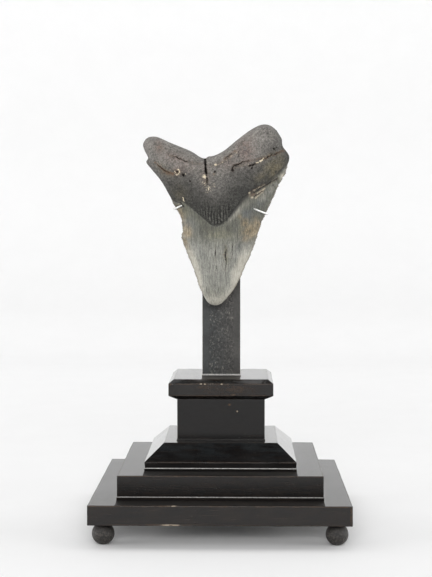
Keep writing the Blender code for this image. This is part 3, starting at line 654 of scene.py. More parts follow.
def tooth_mesh():
    """Front and back sheets over the outline that share its rim, with their colour shares."""
    x, z, u, v = tooth_grid()
    edge, above, above_back = tooth_distances(x, z)
    crack_depth, crack_marks = crack_fields(x, z)
    front, back = tooth_depths(x, z, u, v, edge, above, above_back, crack_depth)
    rim = np.ones(x.shape, dtype=bool)
    rim[1:-1, 1:-1] = False
    front[rim] = 0.0
    middle = TOOTH_MIDDLE_Y - TIP_BOW * smooth_step((BOW_TOP - z) / BOW_LENGTH)

    front_number = np.arange(x.size).reshape(x.shape)
    back_number = front_number.copy()
    back_number[~rim] = x.size + np.arange(np.count_nonzero(~rim))
    points = np.stack([x, middle - front, z], axis=-1).reshape(-1, 3)
    back_points = np.stack([x, middle + back, z], axis=-1)[~rim]
    points = np.vstack([points, back_points]) * MM
    faces = sheet_faces(front_number, False) + sheet_faces(back_number, True)
    mesh = bpy.data.meshes.new("fossil tooth")
    mesh.from_pydata(points.tolist(), [], faces)

    shares = front_marks(x, z, edge, above, crack_marks)
    back_shares = back_marks(x, z, edge, above_back)
    shares["cutting"] = rim & (above < -1.0) & (z > TIP_TOP + 1.0)
    back_shares["cutting"] = np.zeros(x.shape)
    shares["inner"] = back_shares["inner"] = clip01(edge / 2.0)
    for name, share in shares.items():
        values = np.concatenate([share.ravel(), back_shares[name][~rim]]).astype(np.float32)
        mesh.attributes.new(name, "FLOAT", "POINT").data.foreach_set("value", values)
    return mesh


def sheet_faces(numbers, backwards):
    """Quads over a grid of vertex numbers; the four corner cells are cut from their corners."""
    a, b = numbers[:-1, :-1], numbers[1:, :-1]
    c, d = numbers[1:, 1:], numbers[:-1, 1:]
    quads = np.stack([a, b, c, d], axis=-1)
    corners = [quads[0, 0], quads[-1, -1], quads[-1, 0], quads[0, -1]]
    cells = quads.reshape(-1, 4)
    whole = np.ones(quads.shape[:2], dtype=bool)
    whole[[0, -1, -1, 0], [0, -1, 0, -1]] = False
    faces = cells[whole.ravel()].tolist()
    for a, b, c, d in (corner.tolist() for corner in corners[:2]):
        faces += [[a, b, c], [a, c, d]]
    for a, b, c, d in (corner.tolist() for corner in corners[2:]):
        faces += [[a, b, d], [b, c, d]]
    return [face[::-1] for face in faces] if backwards else faces


def arithmetic(operation, reflected=False):
    """A method that adds a Math node. It is reflected when its value stands on the right."""
    def method(value, *others):
        terms = (*others, value) if reflected else (value, *others)
        return value.board.node("ShaderNodeMath", {"operation": operation}, dict(enumerate(terms)))
    return method


class Value:
    """A socket in a node tree. Arithmetic on numbers adds Math nodes to its tree."""

    def __init__(self, board, socket):
        self.board = board
        self.socket = socket

    __add__ = arithmetic("ADD")
    __radd__ = arithmetic("ADD", reflected=True)
    __sub__ = arithmetic("SUBTRACT")
    __rsub__ = arithmetic("SUBTRACT", reflected=True)
    __mul__ = arithmetic("MULTIPLY")
    __rmul__ = arithmetic("MULTIPLY", reflected=True)
    __truediv__ = arithmetic("DIVIDE")
    __rtruediv__ = arithmetic("DIVIDE", reflected=True)
    __abs__ = arithmetic("ABSOLUTE")
    power = arithmetic("POWER")
    least = arithmetic("MINIMUM")
    most = arithmetic("MAXIMUM")
    above = arithmetic("GREATER_THAN")

    def ramp(self, low, high, start=0.0, end=1.0):
        """Goes smoothly from start to end as the value goes from low to high."""
        settings = {"interpolation_type": "SMOOTHSTEP"}
        return self.board.node("ShaderNodeMapRange", settings, {0: self, 1: low, 2: high, 3: start, 4: end})

    def output(self, name):
        """Another output of the node that this value comes from, by its name or number."""
        return Value(self.board, self.socket.node.outputs[name])


class NodeBoard:
    """A node tree being wired up."""

    def __init__(self, tree):
        self.tree = tree

    def node(self, kind, settings=None, sockets=None):
        """Adds a node; sockets maps an input's name or number to a value, colour or link."""
        made = self.tree.nodes.new(kind)
        for name, setting in (settings or {}).items():
            setattr(made, name, setting)
        for name, value in (sockets or {}).items():
            if isinstance(value, Value):
                self.tree.links.new(value.socket, made.inputs[name])
            else:
                made.inputs[name].default_value = value
        return Value(self, made.outputs[0]) if made.outputs else made

    def blend(self, share, low, high):
        """A colour that goes from low to high with the share."""
        low, high = (end if isinstance(end, Value) else (*end, 1.0) for end in (low, high))
        mixed = self.node("ShaderNodeMix", {"data_type": "RGBA"}, {0: share, 6: low, 7: high})
        return mixed.output(2)

    def stained(self, colour, *stains):
        """The colour with each (share, stain) laid over what is there."""
        for share, stain in stains:
            colour = self.blend(share, colour, stain)
        return colour

    def tinted(self, colour, strength):
        return self.node("ShaderNodeVectorMath", {"operation": "SCALE"}, {0: colour, 3: strength})

    def scaled(self, vector, factors):
        return self.node("ShaderNodeVectorMath", {"operation": "MULTIPLY"}, {0: vector, 1: factors})

    def noise(self, vector, scale, detail=2.0, roughness=0.5):
        sockets = {"Vector": vector, "Scale": scale, "Detail": detail, "Roughness": roughness}
        return self.node("ShaderNodeTexNoise", {}, sockets)

    def cells(self, vector, scale):
        return self.node("ShaderNodeTexVoronoi", {}, {"Vector": vector, "Scale": scale})

    def share(self, name):
        """A number stored on the mesh's points."""
        return self.node("ShaderNodeAttribute", {"attribute_name": name}).output("Fac")


class Finish(NodeBoard):
    """A material whose Principled shader is wired up; its patterns are in millimetres."""

    def __init__(self, name, **constants):
        self.material = bpy.data.materials.new(name)
        self.material.use_nodes = True
        super().__init__(self.material.node_tree)
        self.shader = self.tree.nodes["Principled BSDF"]
        for socket, value in constants.items():
            self.shader.inputs[socket.replace("_", " ")].default_value = value
        self.place = self.scaled(self.node("ShaderNodeTexCoord").output("Object"), (1 / MM,) * 3)
        axes = self.node("ShaderNodeSeparateXYZ", {}, {0: self.place})
        self.x, self.y, self.z = (axes.output(name) for name in "XYZ")

    def drawn_out(self, factors, scale, detail, roughness):
        """Noise that is longest along the axis with the smallest factor."""
        return self.noise(self.scaled(self.place, factors), scale, detail, roughness)

    def bump(self, height, strength, distance):
        sockets = {"Strength": strength, "Distance": distance, "Height": height}
        return self.node("ShaderNodeBump", {}, sockets)

    def levelness(self):
        """How level the surface is: 1 on a tread and 0 on an upright face."""
        normal = self.node("ShaderNodeNewGeometry").output("Normal")
        return abs(self.node("ShaderNodeSeparateXYZ", {}, {0: normal}).output("Z"))

    def finished(self, **values):
        """The material, with the values linked to its shader's inputs."""
        for socket, value in values.items():
            self.tree.links.new(value.socket, self.shader.inputs[socket.replace("_", " ")])
        return self.material


def fossil_patterns(board):
    """The noises that break up the fossil's colours. The last two run down the crown."""
    return SimpleNamespace(
        mottle=board.noise(board.place, 0.11, 4.0, 0.6),
        grain=board.noise(board.place, 0.68, 3.0, 0.75),
        speckle=board.noise(board.place, 1.6, 2.0, 0.6),
        pores=board.cells(board.place, 0.75),
        blotch=board.noise(board.place, 0.3, 4.0, 0.7),
        streaks=board.drawn_out((1.0, 0.4, 0.06), 1.5, 2.0, 0.7),
        hairs=board.drawn_out((1.0, 0.4, 0.2), 2.2, 2.0, 0.6),
    )


def root_colour(board, tooth, share, patterns):
    """Pitted brown-grey with plum, olive and rust stains and speckled chalky crusts."""
    grain, speckle, blotch = patterns.grain, patterns.speckle, patterns.blotch
    root = board.stained(
        board.blend(share["lobe"], tooth.root_deep, tooth.root_pale),
        (share["plum"] * blotch.ramp(0.25, 0.55) * 0.75, tooth.plum_stain),
        (share["olive"] * blotch.ramp(0.25, 0.6) * 0.7, tooth.olive_stain),
    )
    light = patterns.mottle.ramp(0.3, 0.7, 0.82, 1.18) * grain.ramp(0.3, 0.7, 0.58, 1.44)
    light = light * speckle.ramp(0.3, 0.7, 0.8, 1.2) * patterns.pores.ramp(0.05, 0.4, 0.7, 1.06)
    light = light * blotch.ramp(0.3, 0.7, 0.88, 1.12)
    crusty = (share["cream"] + (speckle - 0.5) * 1.3).ramp(0.3, 0.5) * share["cream"].ramp(0.02, 0.1)
    return board.stained(
        board.tinted(root, light),
        ((share["rust"] * grain.ramp(0.34, 0.58) * 1.3).least(0.85), tooth.rust_stain),
        (crusty * 0.92, tooth.chalk),
    )


def enamel_colour(board, tooth, share, patterns):
    """Streaked grey that pales towards the tip and the worn edges, with slate to tan stains."""
    grain, blotch, streaks, hairs = patterns.grain, patterns.blotch, patterns.streaks, patterns.hairs
    tan_share = blotch.ramp(0.4, 0.52) * 0.5 + grain.ramp(0.4, 0.6) * 0.5
    tan_cover = share["tan"] * 1.5 * (blotch * 0.75 + grain * 0.25).ramp(0.26, 0.5)
    enamel = board.stained(
        board.blend(board.z.ramp(*ENAMEL_DARKENS), tooth.enamel_low, tooth.enamel_high),
        (share["slate"] * blotch.ramp(0.2, 0.6), tooth.slate_stain),
        (share["olive"] * blotch.ramp(0.3, 0.6) * 0.6, tooth.olive_enamel),
        (tan_cover.least(0.9), board.blend(tan_share, tooth.tan_deep, tooth.tan_stain)),
        (share["worn"] * streaks.ramp(0.2, 0.6, 0.6, 1.0), tooth.worn_edge),
    )
    plain = (1 - share["worn"] * 0.6) * board.z.ramp(*STREAKS_GROW, 0.9, 1.0)
    light = streaks.ramp(0.33, 0.67, 0.7, 1.3) * hairs.ramp(0.3, 0.7, 0.7, 1.3)
    light = 1 + (light * patterns.speckle.ramp(0.3, 0.7, 0.84, 1.16) - 1) * plain
    scratches = hairs.ramp(0.6, 0.68) * streaks.ramp(0.48, 0.6) * plain
    return board.stained(
        board.tinted(enamel, light * patterns.mottle.ramp(0.3, 0.7, 0.9, 1.1)),
        (scratches * 0.55, tooth.scratch_colour),
        # The fringe is partly the edges' own brown and partly painted shade.
        (share["fringe"] * 0.6, tooth.fringe),
        ((share["cream"] * 1.3).least(0.9), tooth.chalk),
        (share["rust"] * 0.7, tooth.rust_stain),
    )


def fossil_finish(tooth):
    """Pitted brown-grey root, dark fluted collar and streaked grey enamel with worn edges."""
    board = Finish("fossil root and enamel", Specular_IOR_Level=0.22, Coat_Roughness=0.38)
    share = {name: board.share(name) for name in (
        "root", "lobe", "collar", "crack", "under", "cream", "worn", "tan", "olive", "slate",
        "rust", "plum", "fringe", "flute")}
    patterns = fossil_patterns(board)
    grain, speckle, streaks = patterns.grain, patterns.speckle, patterns.streaks
    root, crown = share["root"], 1 - share["root"]
    ridges = share["flute"].ramp(0.1, 0.8) + speckle.ramp(0.3, 0.7, -0.25, 0.25)
    collar = board.blend(ridges, tooth.collar, tooth.collar_ridge)
    jagged = (share["crack"] + (speckle - 0.5) * 0.6).ramp(0.2, 0.62) * share["crack"].ramp(0.05, 0.2)
    colour = board.stained(
        enamel_colour(board, tooth, share, patterns),
        (root, root_colour(board, tooth, share, patterns)),
        (share["collar"] * 0.94, board.tinted(collar, grain.ramp(0.3, 0.7, 0.5, 1.7))),
        # Painted shade under the root's rim and along its outline.
        (share["under"] * 0.8, tooth.rim_shade),
        (jagged * 0.97, tooth.crack_dark),
    )
    enamel_rough = streaks.ramp(0.3, 0.7, tooth.enamel_roughness + 0.1, tooth.enamel_roughness)
    root_rough = grain.ramp(0.3, 0.7, tooth.root_roughness + 0.1, tooth.root_roughness)
    root_height = grain * 0.6 + patterns.pores.ramp(0.0, 0.35) * 0.4
    enamel_height = streaks * 0.35 + patterns.hairs * 0.15
    return board.finished(
        Base_Color=colour,
        Roughness=enamel_rough * crown + root_rough * root + 0.2 * share["crack"],
        Coat_Weight=crown * 0.35 + share["lobe"] * 0.12,
        Normal=board.bump(root_height * root + enamel_height * crown, 0.8, 0.6 * MM),
    )


def joint_highlight(board, joint, half_width=0.15):
    """Where a painted highlight lies along the line at a height, broken up by noise, in millimetres."""
    dust = board.noise(board.place, 0.9, 3.0, 0.7)
    return abs(board.z - joint).ramp(half_width, half_width + 0.2, 1.0, 0.0) * dust.ramp(0.3, 0.6, 0.4, 1.0)


def rubbed_places(board, block, outer, corner, nicks, runs):
    """Where the stain is rubbed thin, and where the wood is bare, from 0 to 1."""
    rub = nicks.ramp(0.5, 0.75) * corner.ramp(0.2, 1.6, 0.7, 0.0)
    dents = nicks.ramp(0.36, 0.66) * 0.6 + runs.ramp(0.4, 0.6) * 0.4
    for half_width, height, strength in block.arrises:
        run = outer - half_width
        rise = board.z - height
        edge = (run * run + rise * rise).power(0.5)
        rub = rub.most(edge.ramp(0.25, 1.3, 1.0, 0.0) * dents * strength)
    bare = rub.least(0.0)
    front = (board.y * -1.0).above(block.half_width - 1.2)
    for x, z, half_width, half_height, strength in block.spots:
        run = (board.x - x) / half_width
        rise = (board.z - z) / half_height
        near = (run * run + rise * rise).ramp(0.2, 1.0, 1.0, 0.0) * front
        rub = rub.most(near * nicks.ramp(0.34, 0.56) * strength)
        if strength > CHIPPED:
            bare = bare.most(near * nicks.ramp(0.42, 0.56))
    return rub, bare


def ebonised_wood(name, stand, block):
    """Black-stained, polished wood with rubbed arrises and a painted highlight at its foot's joint."""
    # The fourth entry of POLISH is how strongly the painted highlight at the foot is laid on.
    tread_polish, front_polish, fade, wax, browning = block.polish
    board = Finish(name, Specular_IOR_Level=stand.gloss, Coat_Roughness=stand.polish)
    grain = board.drawn_out((0.05, 0.05, 1.0), 1.1, 5.0, 0.65)
    fibres = board.drawn_out((0.1, 0.1, 1.0), 3.0, 2.0, 0.6)
    treads = board.drawn_out((0.05, 1.0, 0.2), 1.3, 4.0, 0.7)
    runs = board.drawn_out((0.35, 0.35, 1.0), 0.16, 3.0, 0.6)
    drift = board.drawn_out((0.045, 0.13, 0.13), 1.0, 4.0, 0.65)
    cloud = board.noise(board.place, 0.045, 4.0, 0.6)
    nicks = board.noise(board.place, 0.5, 4.0, 0.75)

    across, along, levelness = abs(board.x), abs(board.y), board.levelness()
    outer = across.most(along)
    level = levelness.ramp(0.85, 0.97)
    reclined = levelness.ramp(0.3, 0.6)
    facing = reclined * (1 - level) * (board.y * -1.0 - across).above(0.0)
    # Strips of the treads in front of and behind what stands on the block, which are made dull.
    mirror_strip = level * along.above(block.standing) * (1 - across.above(block.standing))
    corner = (outer - across.least(along)) + level * 50.0
    rub, bare = rubbed_places(board, block, outer, corner, nicks, runs)
    haze = (grain * 0.4 + nicks * 0.3 + runs * 0.3).ramp(0.42, 0.58) * (1 - level)
    specks = board.cells(board.place, 0.3).ramp(0.04, 0.08, 1.0, 0.0) * cloud.ramp(0.5, 0.6)
    above_joint = board.z - block.joint
    bloom = facing * drift.ramp(0.38, 0.62) * above_joint.ramp(4.0, 11.0, 0.1, 0.65)
    # Thinner dust on these strips of the base and the step is a painted dark reflection of the block above;
    # the cap's strips get thicker dust.
    dust = 0.1 + mirror_strip * (block.dusting - 0.1)
    colour = board.stained(
        board.blend(grain.ramp(0.45, 0.75), stand.wood_colour, stand.grain_colour),
        (treads.ramp(0.55, 0.75) * level * 0.3, stand.worn_colour),
        (haze * browning, stand.worn_colour),
        (rub * stand.wear, stand.worn_colour),
        (bare * stand.wear, stand.bare_colour),
        (specks * 0.4, stand.dust_colour),
        (bloom, stand.bloom_colour),
        (level * (treads * 0.3 + nicks * 0.7).ramp(0.3, 0.7, 0.35, 1.0) * dust, stand.dust_colour),
        # Painted highlight: the pale line along the joint at the block's foot.
        (joint_highlight(board, block.joint) * wax, stand.joint_highlight_colour),
    )
    upright = front_polish * above_joint.ramp(-0.01, max(fade, 0.01))
    clouding = (cloud * 0.5 + nicks * 0.5).ramp(0.4, 0.6, 0.15, 1.0)
    cover = upright * (1 - reclined) + reclined * tread_polish * (1 - facing * (1 - clouding))
    rough = cloud.ramp(0.3, 0.7, stand.dullness, stand.dullness + 0.04)
    return board.finished(
        Base_Color=colour,
        Roughness=rough + fibres * 0.02 + rub * 0.3 + mirror_strip * 0.3,
        Coat_Weight=cover * nicks.ramp(0.3, 0.7, 1.08, 0.92) * (1 - rub * 0.5) * (1 - mirror_strip),
        Normal=board.bump(grain * 0.35 + fibres * 0.25 - rub * 0.6, 0.1, 0.25 * MM),
    )


def post_finish(stand, joint):
    """Open-pored black stain, pebbly and flecked down the middle of each face, with a painted highlight line
    at its foot.
    """
    board = Finish("open-pored black post", Specular_IOR_Level=0.4)
    pebbles = board.drawn_out((1.0, 1.0, 0.7), 0.7, 4.0, 0.7)
    worms = abs(board.drawn_out((1.0, 1.0, 0.75), 0.3, 1.0, 0.5) - 0.5)
    pores = board.drawn_out((1.0, 1.0, 0.3), 1.5, 3.0, 0.7)
    cloud = board.noise(board.place, 0.09, 3.0, 0.6)
    flecks = board.cells(board.scaled(board.place, (1.0, 1.0, 0.7)), 0.36)
    inner = abs(board.x).least(abs(board.y))
    middle = inner.ramp(*POST_FLECKS_END, 1.0, 0.0)
    colour = board.stained(
        board.blend(board.x.ramp(-9.0, 9.0), stand.post_left, stand.post_colour),
        (pebbles.ramp(0.62, 0.3) * (0.3 + middle * 0.6), stand.post_deep),
    )
    lines = worms.ramp(0.0, 0.035, 1.0, 0.0) * pebbles.ramp(0.4, 0.6) * middle
    pale = flecks.ramp(0.1, 0.24, 1.0, 0.0) * cloud.ramp(0.46, 0.54) * middle
    colour = board.stained(
        board.tinted(colour, cloud.ramp(0.3, 0.7, 0.75, 1.25)),
        (lines * 0.5, stand.post_fleck),
        (pale * 0.6, stand.post_fleck),
        (inner.ramp(*POST_CORNER) * pores.ramp(0.45, 0.6) * 0.4, stand.worn_colour),
        # Painted highlight: the pale line along the joint at the post's foot.
        (joint_highlight(board, joint, 0.4), stand.joint_highlight_colour),
    )
    return board.finished(
        Base_Color=colour,
        Roughness=pebbles.ramp(0.3, 0.7, 0.46, 0.34) + pale * 0.2,
        Normal=board.bump(pebbles * 0.6 + pores * 0.3 + lines * 0.3, 0.6, 0.3 * MM),
    )


def foot_finish(stand):
    """Dull brown-black turned wood, with painted light from the floor as grey-brown mottling low on the
    balls.
    """
    board = Finish("turned black feet")
    rings = board.drawn_out((0.15, 0.15, 1.0), 1.6, 4.0, 0.65)
    grain = board.noise(board.place, 0.9, 4.0, 0.7)
    turned = board.blend(rings.ramp(0.4, 0.7), stand.foot_colour, stand.grain_colour)
    # Painted light from the floor: grey-brown mottling, faint on the balls' tops and full on their lower
    # halves.
    rub = grain.ramp(0.5, 0.58) * board.z.ramp(13.0, 7.0, 0.25, 1.0)
    return board.finished(
        Base_Color=board.blend(
            rub * 0.6, board.tinted(turned, grain.ramp(0.35, 0.6, 0.35, 1.3)), stand.foot_floor_light),
        Roughness=grain.ramp(0.3, 0.7, 0.62, 0.42),
        Normal=board.bump(grain * 0.6 + rings * 0.4, 0.9, 0.8 * MM),
    )


def wire_finish(claws):
    """Bright drawn wire with faint lengthwise marks and a little tarnish."""
    board = Finish("bright claw wire", Metallic=1.0)
    tarnish = board.noise(board.place, 0.35, 3.0, 0.6)
    marks = board.drawn_out((0.3, 1.0, 2.5), 2.2, 2.0, 0.5)
    return board.finished(
        Base_Color=board.blend(tarnish.ramp(0.48, 0.72), claws.wire_colour, claws.tarnish_colour),
        Roughness=tarnish.ramp(0.3, 0.7, claws.wire_roughness, claws.wire_roughness + 0.16),
        Normal=board.bump(marks, 0.1, 0.05 * MM),
    )


def bracket_finish(claws):
    """Dull, handled brass with a fine brushed grain."""
    board = Finish("dull bracket brass", Metallic=1.0)
    brushed = board.drawn_out((0.15, 1.0, 3.0), 2.0, 3.0, 0.6)
    tarnish = board.noise(board.place, 0.25, 4.0, 0.65)
    return board.finished(
        Base_Color=board.blend(tarnish.ramp(0.4, 0.68), claws.brass_colour, claws.brass_tarnish),
        Roughness=brushed.ramp(0.3, 0.7, 0.3, 0.46) + tarnish * 0.1,
        Normal=board.bump(brushed, 0.12, 0.05 * MM),
    )


class GeometryTree(NodeBoard):
    """A Geometry Nodes tree with named inputs, which ends in real geometry with one material."""

    def __init__(self, name, inputs):
        super().__init__(bpy.data.node_groups.new(name, "GeometryNodeTree"))
        face = self.tree.interface
        face.new_socket("Geometry", in_out="INPUT", socket_type="NodeSocketGeometry")
        for input_name, (kind, default) in inputs.items():
            socket = face.new_socket(input_name, in_out="INPUT", socket_type="NodeSocket" + kind)
            if default is not None:
                socket.default_value = default
        face.new_socket("Material", in_out="INPUT", socket_type="NodeSocketMaterial")
        face.new_socket("Geometry", in_out="OUTPUT", socket_type="NodeSocketGeometry")
        self.first = self.node("NodeGroupInput")

    def input(self, name):
        return self.first.output(name)

    def stored(self, name):
        """A number kept on the geometry's points."""
        return self.node("GeometryNodeInputNamedAttribute", {"data_type": "FLOAT"}, {"Name": name})

    def moved(self, geometry, direction, amount):
        """The geometry pushed along a direction by an amount at each point."""
        offset = self.node("ShaderNodeVectorMath", {"operation": "SCALE"}, {0: direction, 3: amount})
        return self.node("GeometryNodeSetPosition", {}, {"Geometry": geometry, "Offset": offset})

    def finish(self, geometry):
        real = self.node("GeometryNodeRealizeInstances", {}, {0: geometry})
        sockets = {"Geometry": real, "Material": self.input("Material")}
        painted = self.node("GeometryNodeSetMaterial", {}, sockets)
        self.node("NodeGroupOutput", {}, {0: painted})
        return self.tree


def swept_body_tree():
    """A rounded square swept along a path whose points carry their half-widths.

    With a Corner of 1 the square is a circle, so the same tree makes blocks, balls and wires.
    Points with a "rub" above 0, and the upright corners, are dented a little.
    """
    board = GeometryTree("swept body", {
        "Corner": ("Float", 0.02),
        "Corner Segments": ("Int", 3),
        "Side Cuts": ("Int", 12),
        "Depth Ratio": ("Float", 1.0),
        "Dent Depth": ("Float", 0.0),
        "Dent Size": ("Float", 4.0 * MM),
    })
    path = board.node("GeometryNodeMeshToCurve", {}, {"Mesh": board.input("Geometry")})
    height = board.input("Depth Ratio") * 2.0
    square = board.node("GeometryNodeCurvePrimitiveQuadrilateral", {}, {"Width": 2.0, "Height": height})
    ring = board.node("GeometryNodeFilletCurve", {"mode": "POLY"}, {
        "Curve": square, "Count": board.input("Corner Segments"), "Radius": board.input("Corner"),
        "Limit Radius": True})
    at = board.node("ShaderNodeSeparateXYZ", {}, {0: board.node("GeometryNodeInputPosition")})
    nearest_side = abs(at).least(abs(at.output("Y")))
    on_corner = nearest_side.above(0.9999 - board.input("Corner"))
    marked = board.node("GeometryNodeStoreNamedAttribute", {"data_type": "FLOAT", "domain": "POINT"}, {
        "Geometry": ring, "Name": "corner", "Value": on_corner})
    cut = board.node("GeometryNodeSubdivideCurve", {}, {0: marked, "Cuts": board.input("Side Cuts")})
    body = board.node("GeometryNodeCurveToMesh", {}, {
        "Curve": path, "Profile Curve": cut, "Scale": board.stored("half_width"), "Fill Caps": True})
    size = 1.0 / board.input("Dent Size")
    dents = board.noise(board.node("GeometryNodeInputPosition"), size, 2.0, 0.6).ramp(0.35, 0.75)
    rubbed = board.stored("rub").most(board.stored("corner").above(0.5))
    normal = board.node("GeometryNodeInputNormal")
    dented = board.moved(body, normal, dents * rubbed * board.input("Dent Depth") * -1.0)
    return board.finish(dented)


def fossil_skin_tree():
    """Roughens the root, and sets fine serrations along the crown's cutting edges."""
    board = GeometryTree("fossil skin", {
        "Pore Depth": ("Float", 0.15 * MM),
        "Pore Size": ("Float", 1.4 * MM),
        "Serration Pitch": ("Float", 1.1 * MM),
        "Serration Radius": ("Float", 0.42 * MM),
        "Serrations Kept": ("Float", 0.8),
        "Seed": ("Int", 5),
    })
    surface = board.input("Geometry")
    place = board.node("GeometryNodeInputPosition")
    scale = 1.0 / board.input("Pore Size")
    cells = board.cells(place, scale)
    rough = board.noise(place, scale * 0.6, 3.0, 0.65)
    depth = cells.ramp(0.05, 0.5, 1.0, 0.0) * 0.6 + rough.ramp(0.3, 0.7) * 0.7
    amount = depth * board.stored("root") * board.stored("inner") * board.input("Pore Depth") * -1.0
    skin = board.moved(surface, board.node("GeometryNodeInputNormal"), amount)
    smooth = board.node("GeometryNodeSetShadeSmooth", {}, {"Geometry": skin})

    cutting = board.stored("cutting").above(0.5)
    rim = board.node("GeometryNodeSeparateGeometry", {"domain": "POINT"}, {0: surface, 1: cutting})
    line = board.node("GeometryNodeMeshToCurve", {}, {"Mesh": rim})
    beads = board.node("GeometryNodeResampleCurve", {"mode": "LENGTH"}, {
        "Curve": line, "Length": board.input("Serration Pitch")})
    random = board.node("FunctionNodeRandomValue", {"data_type": "FLOAT"}, {
        2: 0.55, 3: 1.1, "Seed": board.input("Seed")}).output(1)
    kept = board.node("FunctionNodeRandomValue", {"data_type": "FLOAT"}, {
        2: 0.0, 3: 1.0, "Seed": board.input("Seed") + 1}).output(1)
    tooth = board.node("GeometryNodeMeshUVSphere", {}, {
        "Segments": 7, "Rings": 5, "Radius": board.input("Serration Radius")})
    serrations = board.node("GeometryNodeInstanceOnPoints", {}, {
        "Points": beads, "Selection": board.input("Serrations Kept").above(kept),
        "Instance": tooth, "Scale": random})
    rounded = board.node("GeometryNodeSetShadeSmooth", {}, {"Geometry": board.node(
        "GeometryNodeRealizeInstances", {}, {0: serrations})})
    joined = board.node("GeometryNodeJoinGeometry")
    board.tree.links.new(rounded.socket, joined.socket.node.inputs[0])
    board.tree.links.new(smooth.socket, joined.socket.node.inputs[0])
    return board.finish(joined)


def settle(piece, modifier):
    """Puts the modifier's result into the piece as a plain mesh and removes the modifier."""
    bpy.context.view_layer.update()
    depsgraph = bpy.context.evaluated_depsgraph_get()
    made = bpy.data.meshes.new_from_object(
        piece.evaluated_get(depsgraph), preserve_all_data_layers=True, depsgraph=depsgraph)
    piece.modifiers.remove(modifier)
    draft = piece.data
    piece.data = made
    made.name = piece.name
    bpy.data.meshes.remove(draft)


def run_nodes(piece, tree, values):
    """Runs a node tree on the piece with the named inputs and leaves a plain mesh behind."""
    modifier = piece.modifiers.new(tree.name, "NODES")
    modifier.node_group = tree
    for item in tree.interface.items_tree:
        if item.in_out == "INPUT" and item.name in values:
            modifier[item.identifier] = values[item.name]
    bpy.context.scene.collection.objects.link(piece)
    settle(piece, modifier)
    return piece


def crisp_edges(piece, degrees=50):
    """Smooth shading weighted by the faces' areas, so that flat faces stay flat."""
    piece.data.shade_smooth()
    piece.data.set_sharp_from_angle(angle=math.radians(degrees))
    modifier = piece.modifiers.new("flat faces", "WEIGHTED_NORMAL")
    modifier.weight = 100
    modifier.keep_sharp = True
    settle(piece, modifier)


def hand_over(piece, slot, *nodes):
    """Lets the piece ride on the body and stand for its CAD nodes."""
    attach(piece, "root")
    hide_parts(*nodes)


def path_piece(name, paths):
    """A piece that holds paths of (x, y, z, half-width, rub) points, in metres, for sweeping."""
    mesh = bpy.data.meshes.new(name + " path")
    points = np.array([point for path in paths for point in path], dtype=float)
    starts = np.cumsum([0] + [len(path) for path in paths])
    lines = [(i, i + 1) for start, end in zip(starts, starts[1:]) for i in range(start, end - 1)]
    mesh.from_pydata(points[:, :3].tolist(), lines, [])
    for column, attribute in ((3, "half_width"), (4, "rub")):
        values = points[:, column].astype(np.float32)
        mesh.attributes.new(attribute, "FLOAT", "POINT").data.foreach_set("value", values)
    return bpy.data.objects.new(name, mesh)


def swept_piece(name, paths, finish, sizes):
    """A piece that is swept along paths; sizes are the tree's inputs by their names."""
    piece = path_piece(name, paths)
    return run_nodes(piece, bpy.data.node_groups["swept body"], {**sizes, "Material": finish})


def upright_path(profile, x=0.0, y=0.0):
    """A path that rises at (x, y) through a profile's (half-width, height, rub) points."""
    return [(x, y, z, half_width, rub) for half_width, z, rub in profile]


def rounded_profile(corners, radius, segments=3):
    """The (half-width, height, rub) points of a closed profile with its corners rounded.

    corners run from the bottom's middle out, up the side and back to the top's middle.
    """
    points = []
    for before, here, after in zip(corners, corners[1:], corners[2:]):
        a, b, c = (np.array(corner, dtype=float) for corner in (before, here, after))
        back, on = (a - b) / np.linalg.norm(a - b), (c - b) / np.linalg.norm(c - b)
        half_turn = math.acos(float(np.clip(np.dot(back, on), -1.0, 1.0))) / 2
        reach = radius / math.tan(half_turn)
        centre = b + (back + on) / np.linalg.norm(back + on) * radius / math.sin(half_turn)
        start, end = b + back * reach - centre, b + on * reach - centre
        for step in range(segments + 1):
            share = step / segments
            turned = start * (1 - share) + end * share
            turned *= radius / np.linalg.norm(turned)
            points.append((*(centre + turned), float(0 < step < segments)))
    return points


def foot_strip(half_width, bottom, height, out):
    """The (half-width, height, rub) points of the thin strip round a block's foot."""
    top = bottom + height
    return [
        (half_width + out, bottom, 0.0),
        (half_width + out, top - STRIP_SLOPE, 0.0),
        (half_width, top + STRIP_SLOPE, 0.0),
        (half_width, top + 2 * STRIP_SLOPE, 0.0),
    ]


def block_span(node):
    """A block's half-width, bottom and top in the frame."""
    low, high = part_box(node)
    drop = BASE_DROP if node == "base_slab" else 0.0
    return high.x, low.z - drop, high.z - drop


def block_edges(node, bottom):
    """A block's level edges from the bottom up as (half-width, height)."""
    half, _, top = block_span(node)
    if node == "cap":
        return [
            (CAP_UNDER_HALF, bottom), (half, bottom + CAP_UNDER_CHAMFER),
            (half, top - CAP_TOP_CHAMFER), (CAP_TOP_HALF, top)]
    if node == "bevelled_plinth":
        return [(half - PLINTH_LIP_LEAN, bottom), (half, bottom + PLINTH_LIP), (PLINTH_TOP_HALF, top)]
    return [(half, bottom), (half, top)]


def block_profile(node, edges, stand):
    """A block's whole profile from the middle of its foot to the middle of its top."""
    bottom, top = edges[0][1], edges[-1][1]
    profile = rounded_profile([(0.0, bottom), *edges, (0.0, top)], stand.arris_radius)
    if node not in STRIPS:
        return profile
    strip = foot_strip(edges[0][0], bottom, STRIPS[node], stand.strip_depth)
    return strip + profile[ROUNDED_FOOT_POINTS:]


def mirror_strip_of(node):
    """The half-width in millimetres of what stands on a block, and the dust painted on the tread strips in
    front of and behind it.
    """
    if node not in STANDING:
        return NOTHING_STANDS
    upper, dusting = STANDING[node]
    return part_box(upper)[1].x / MM, dusting


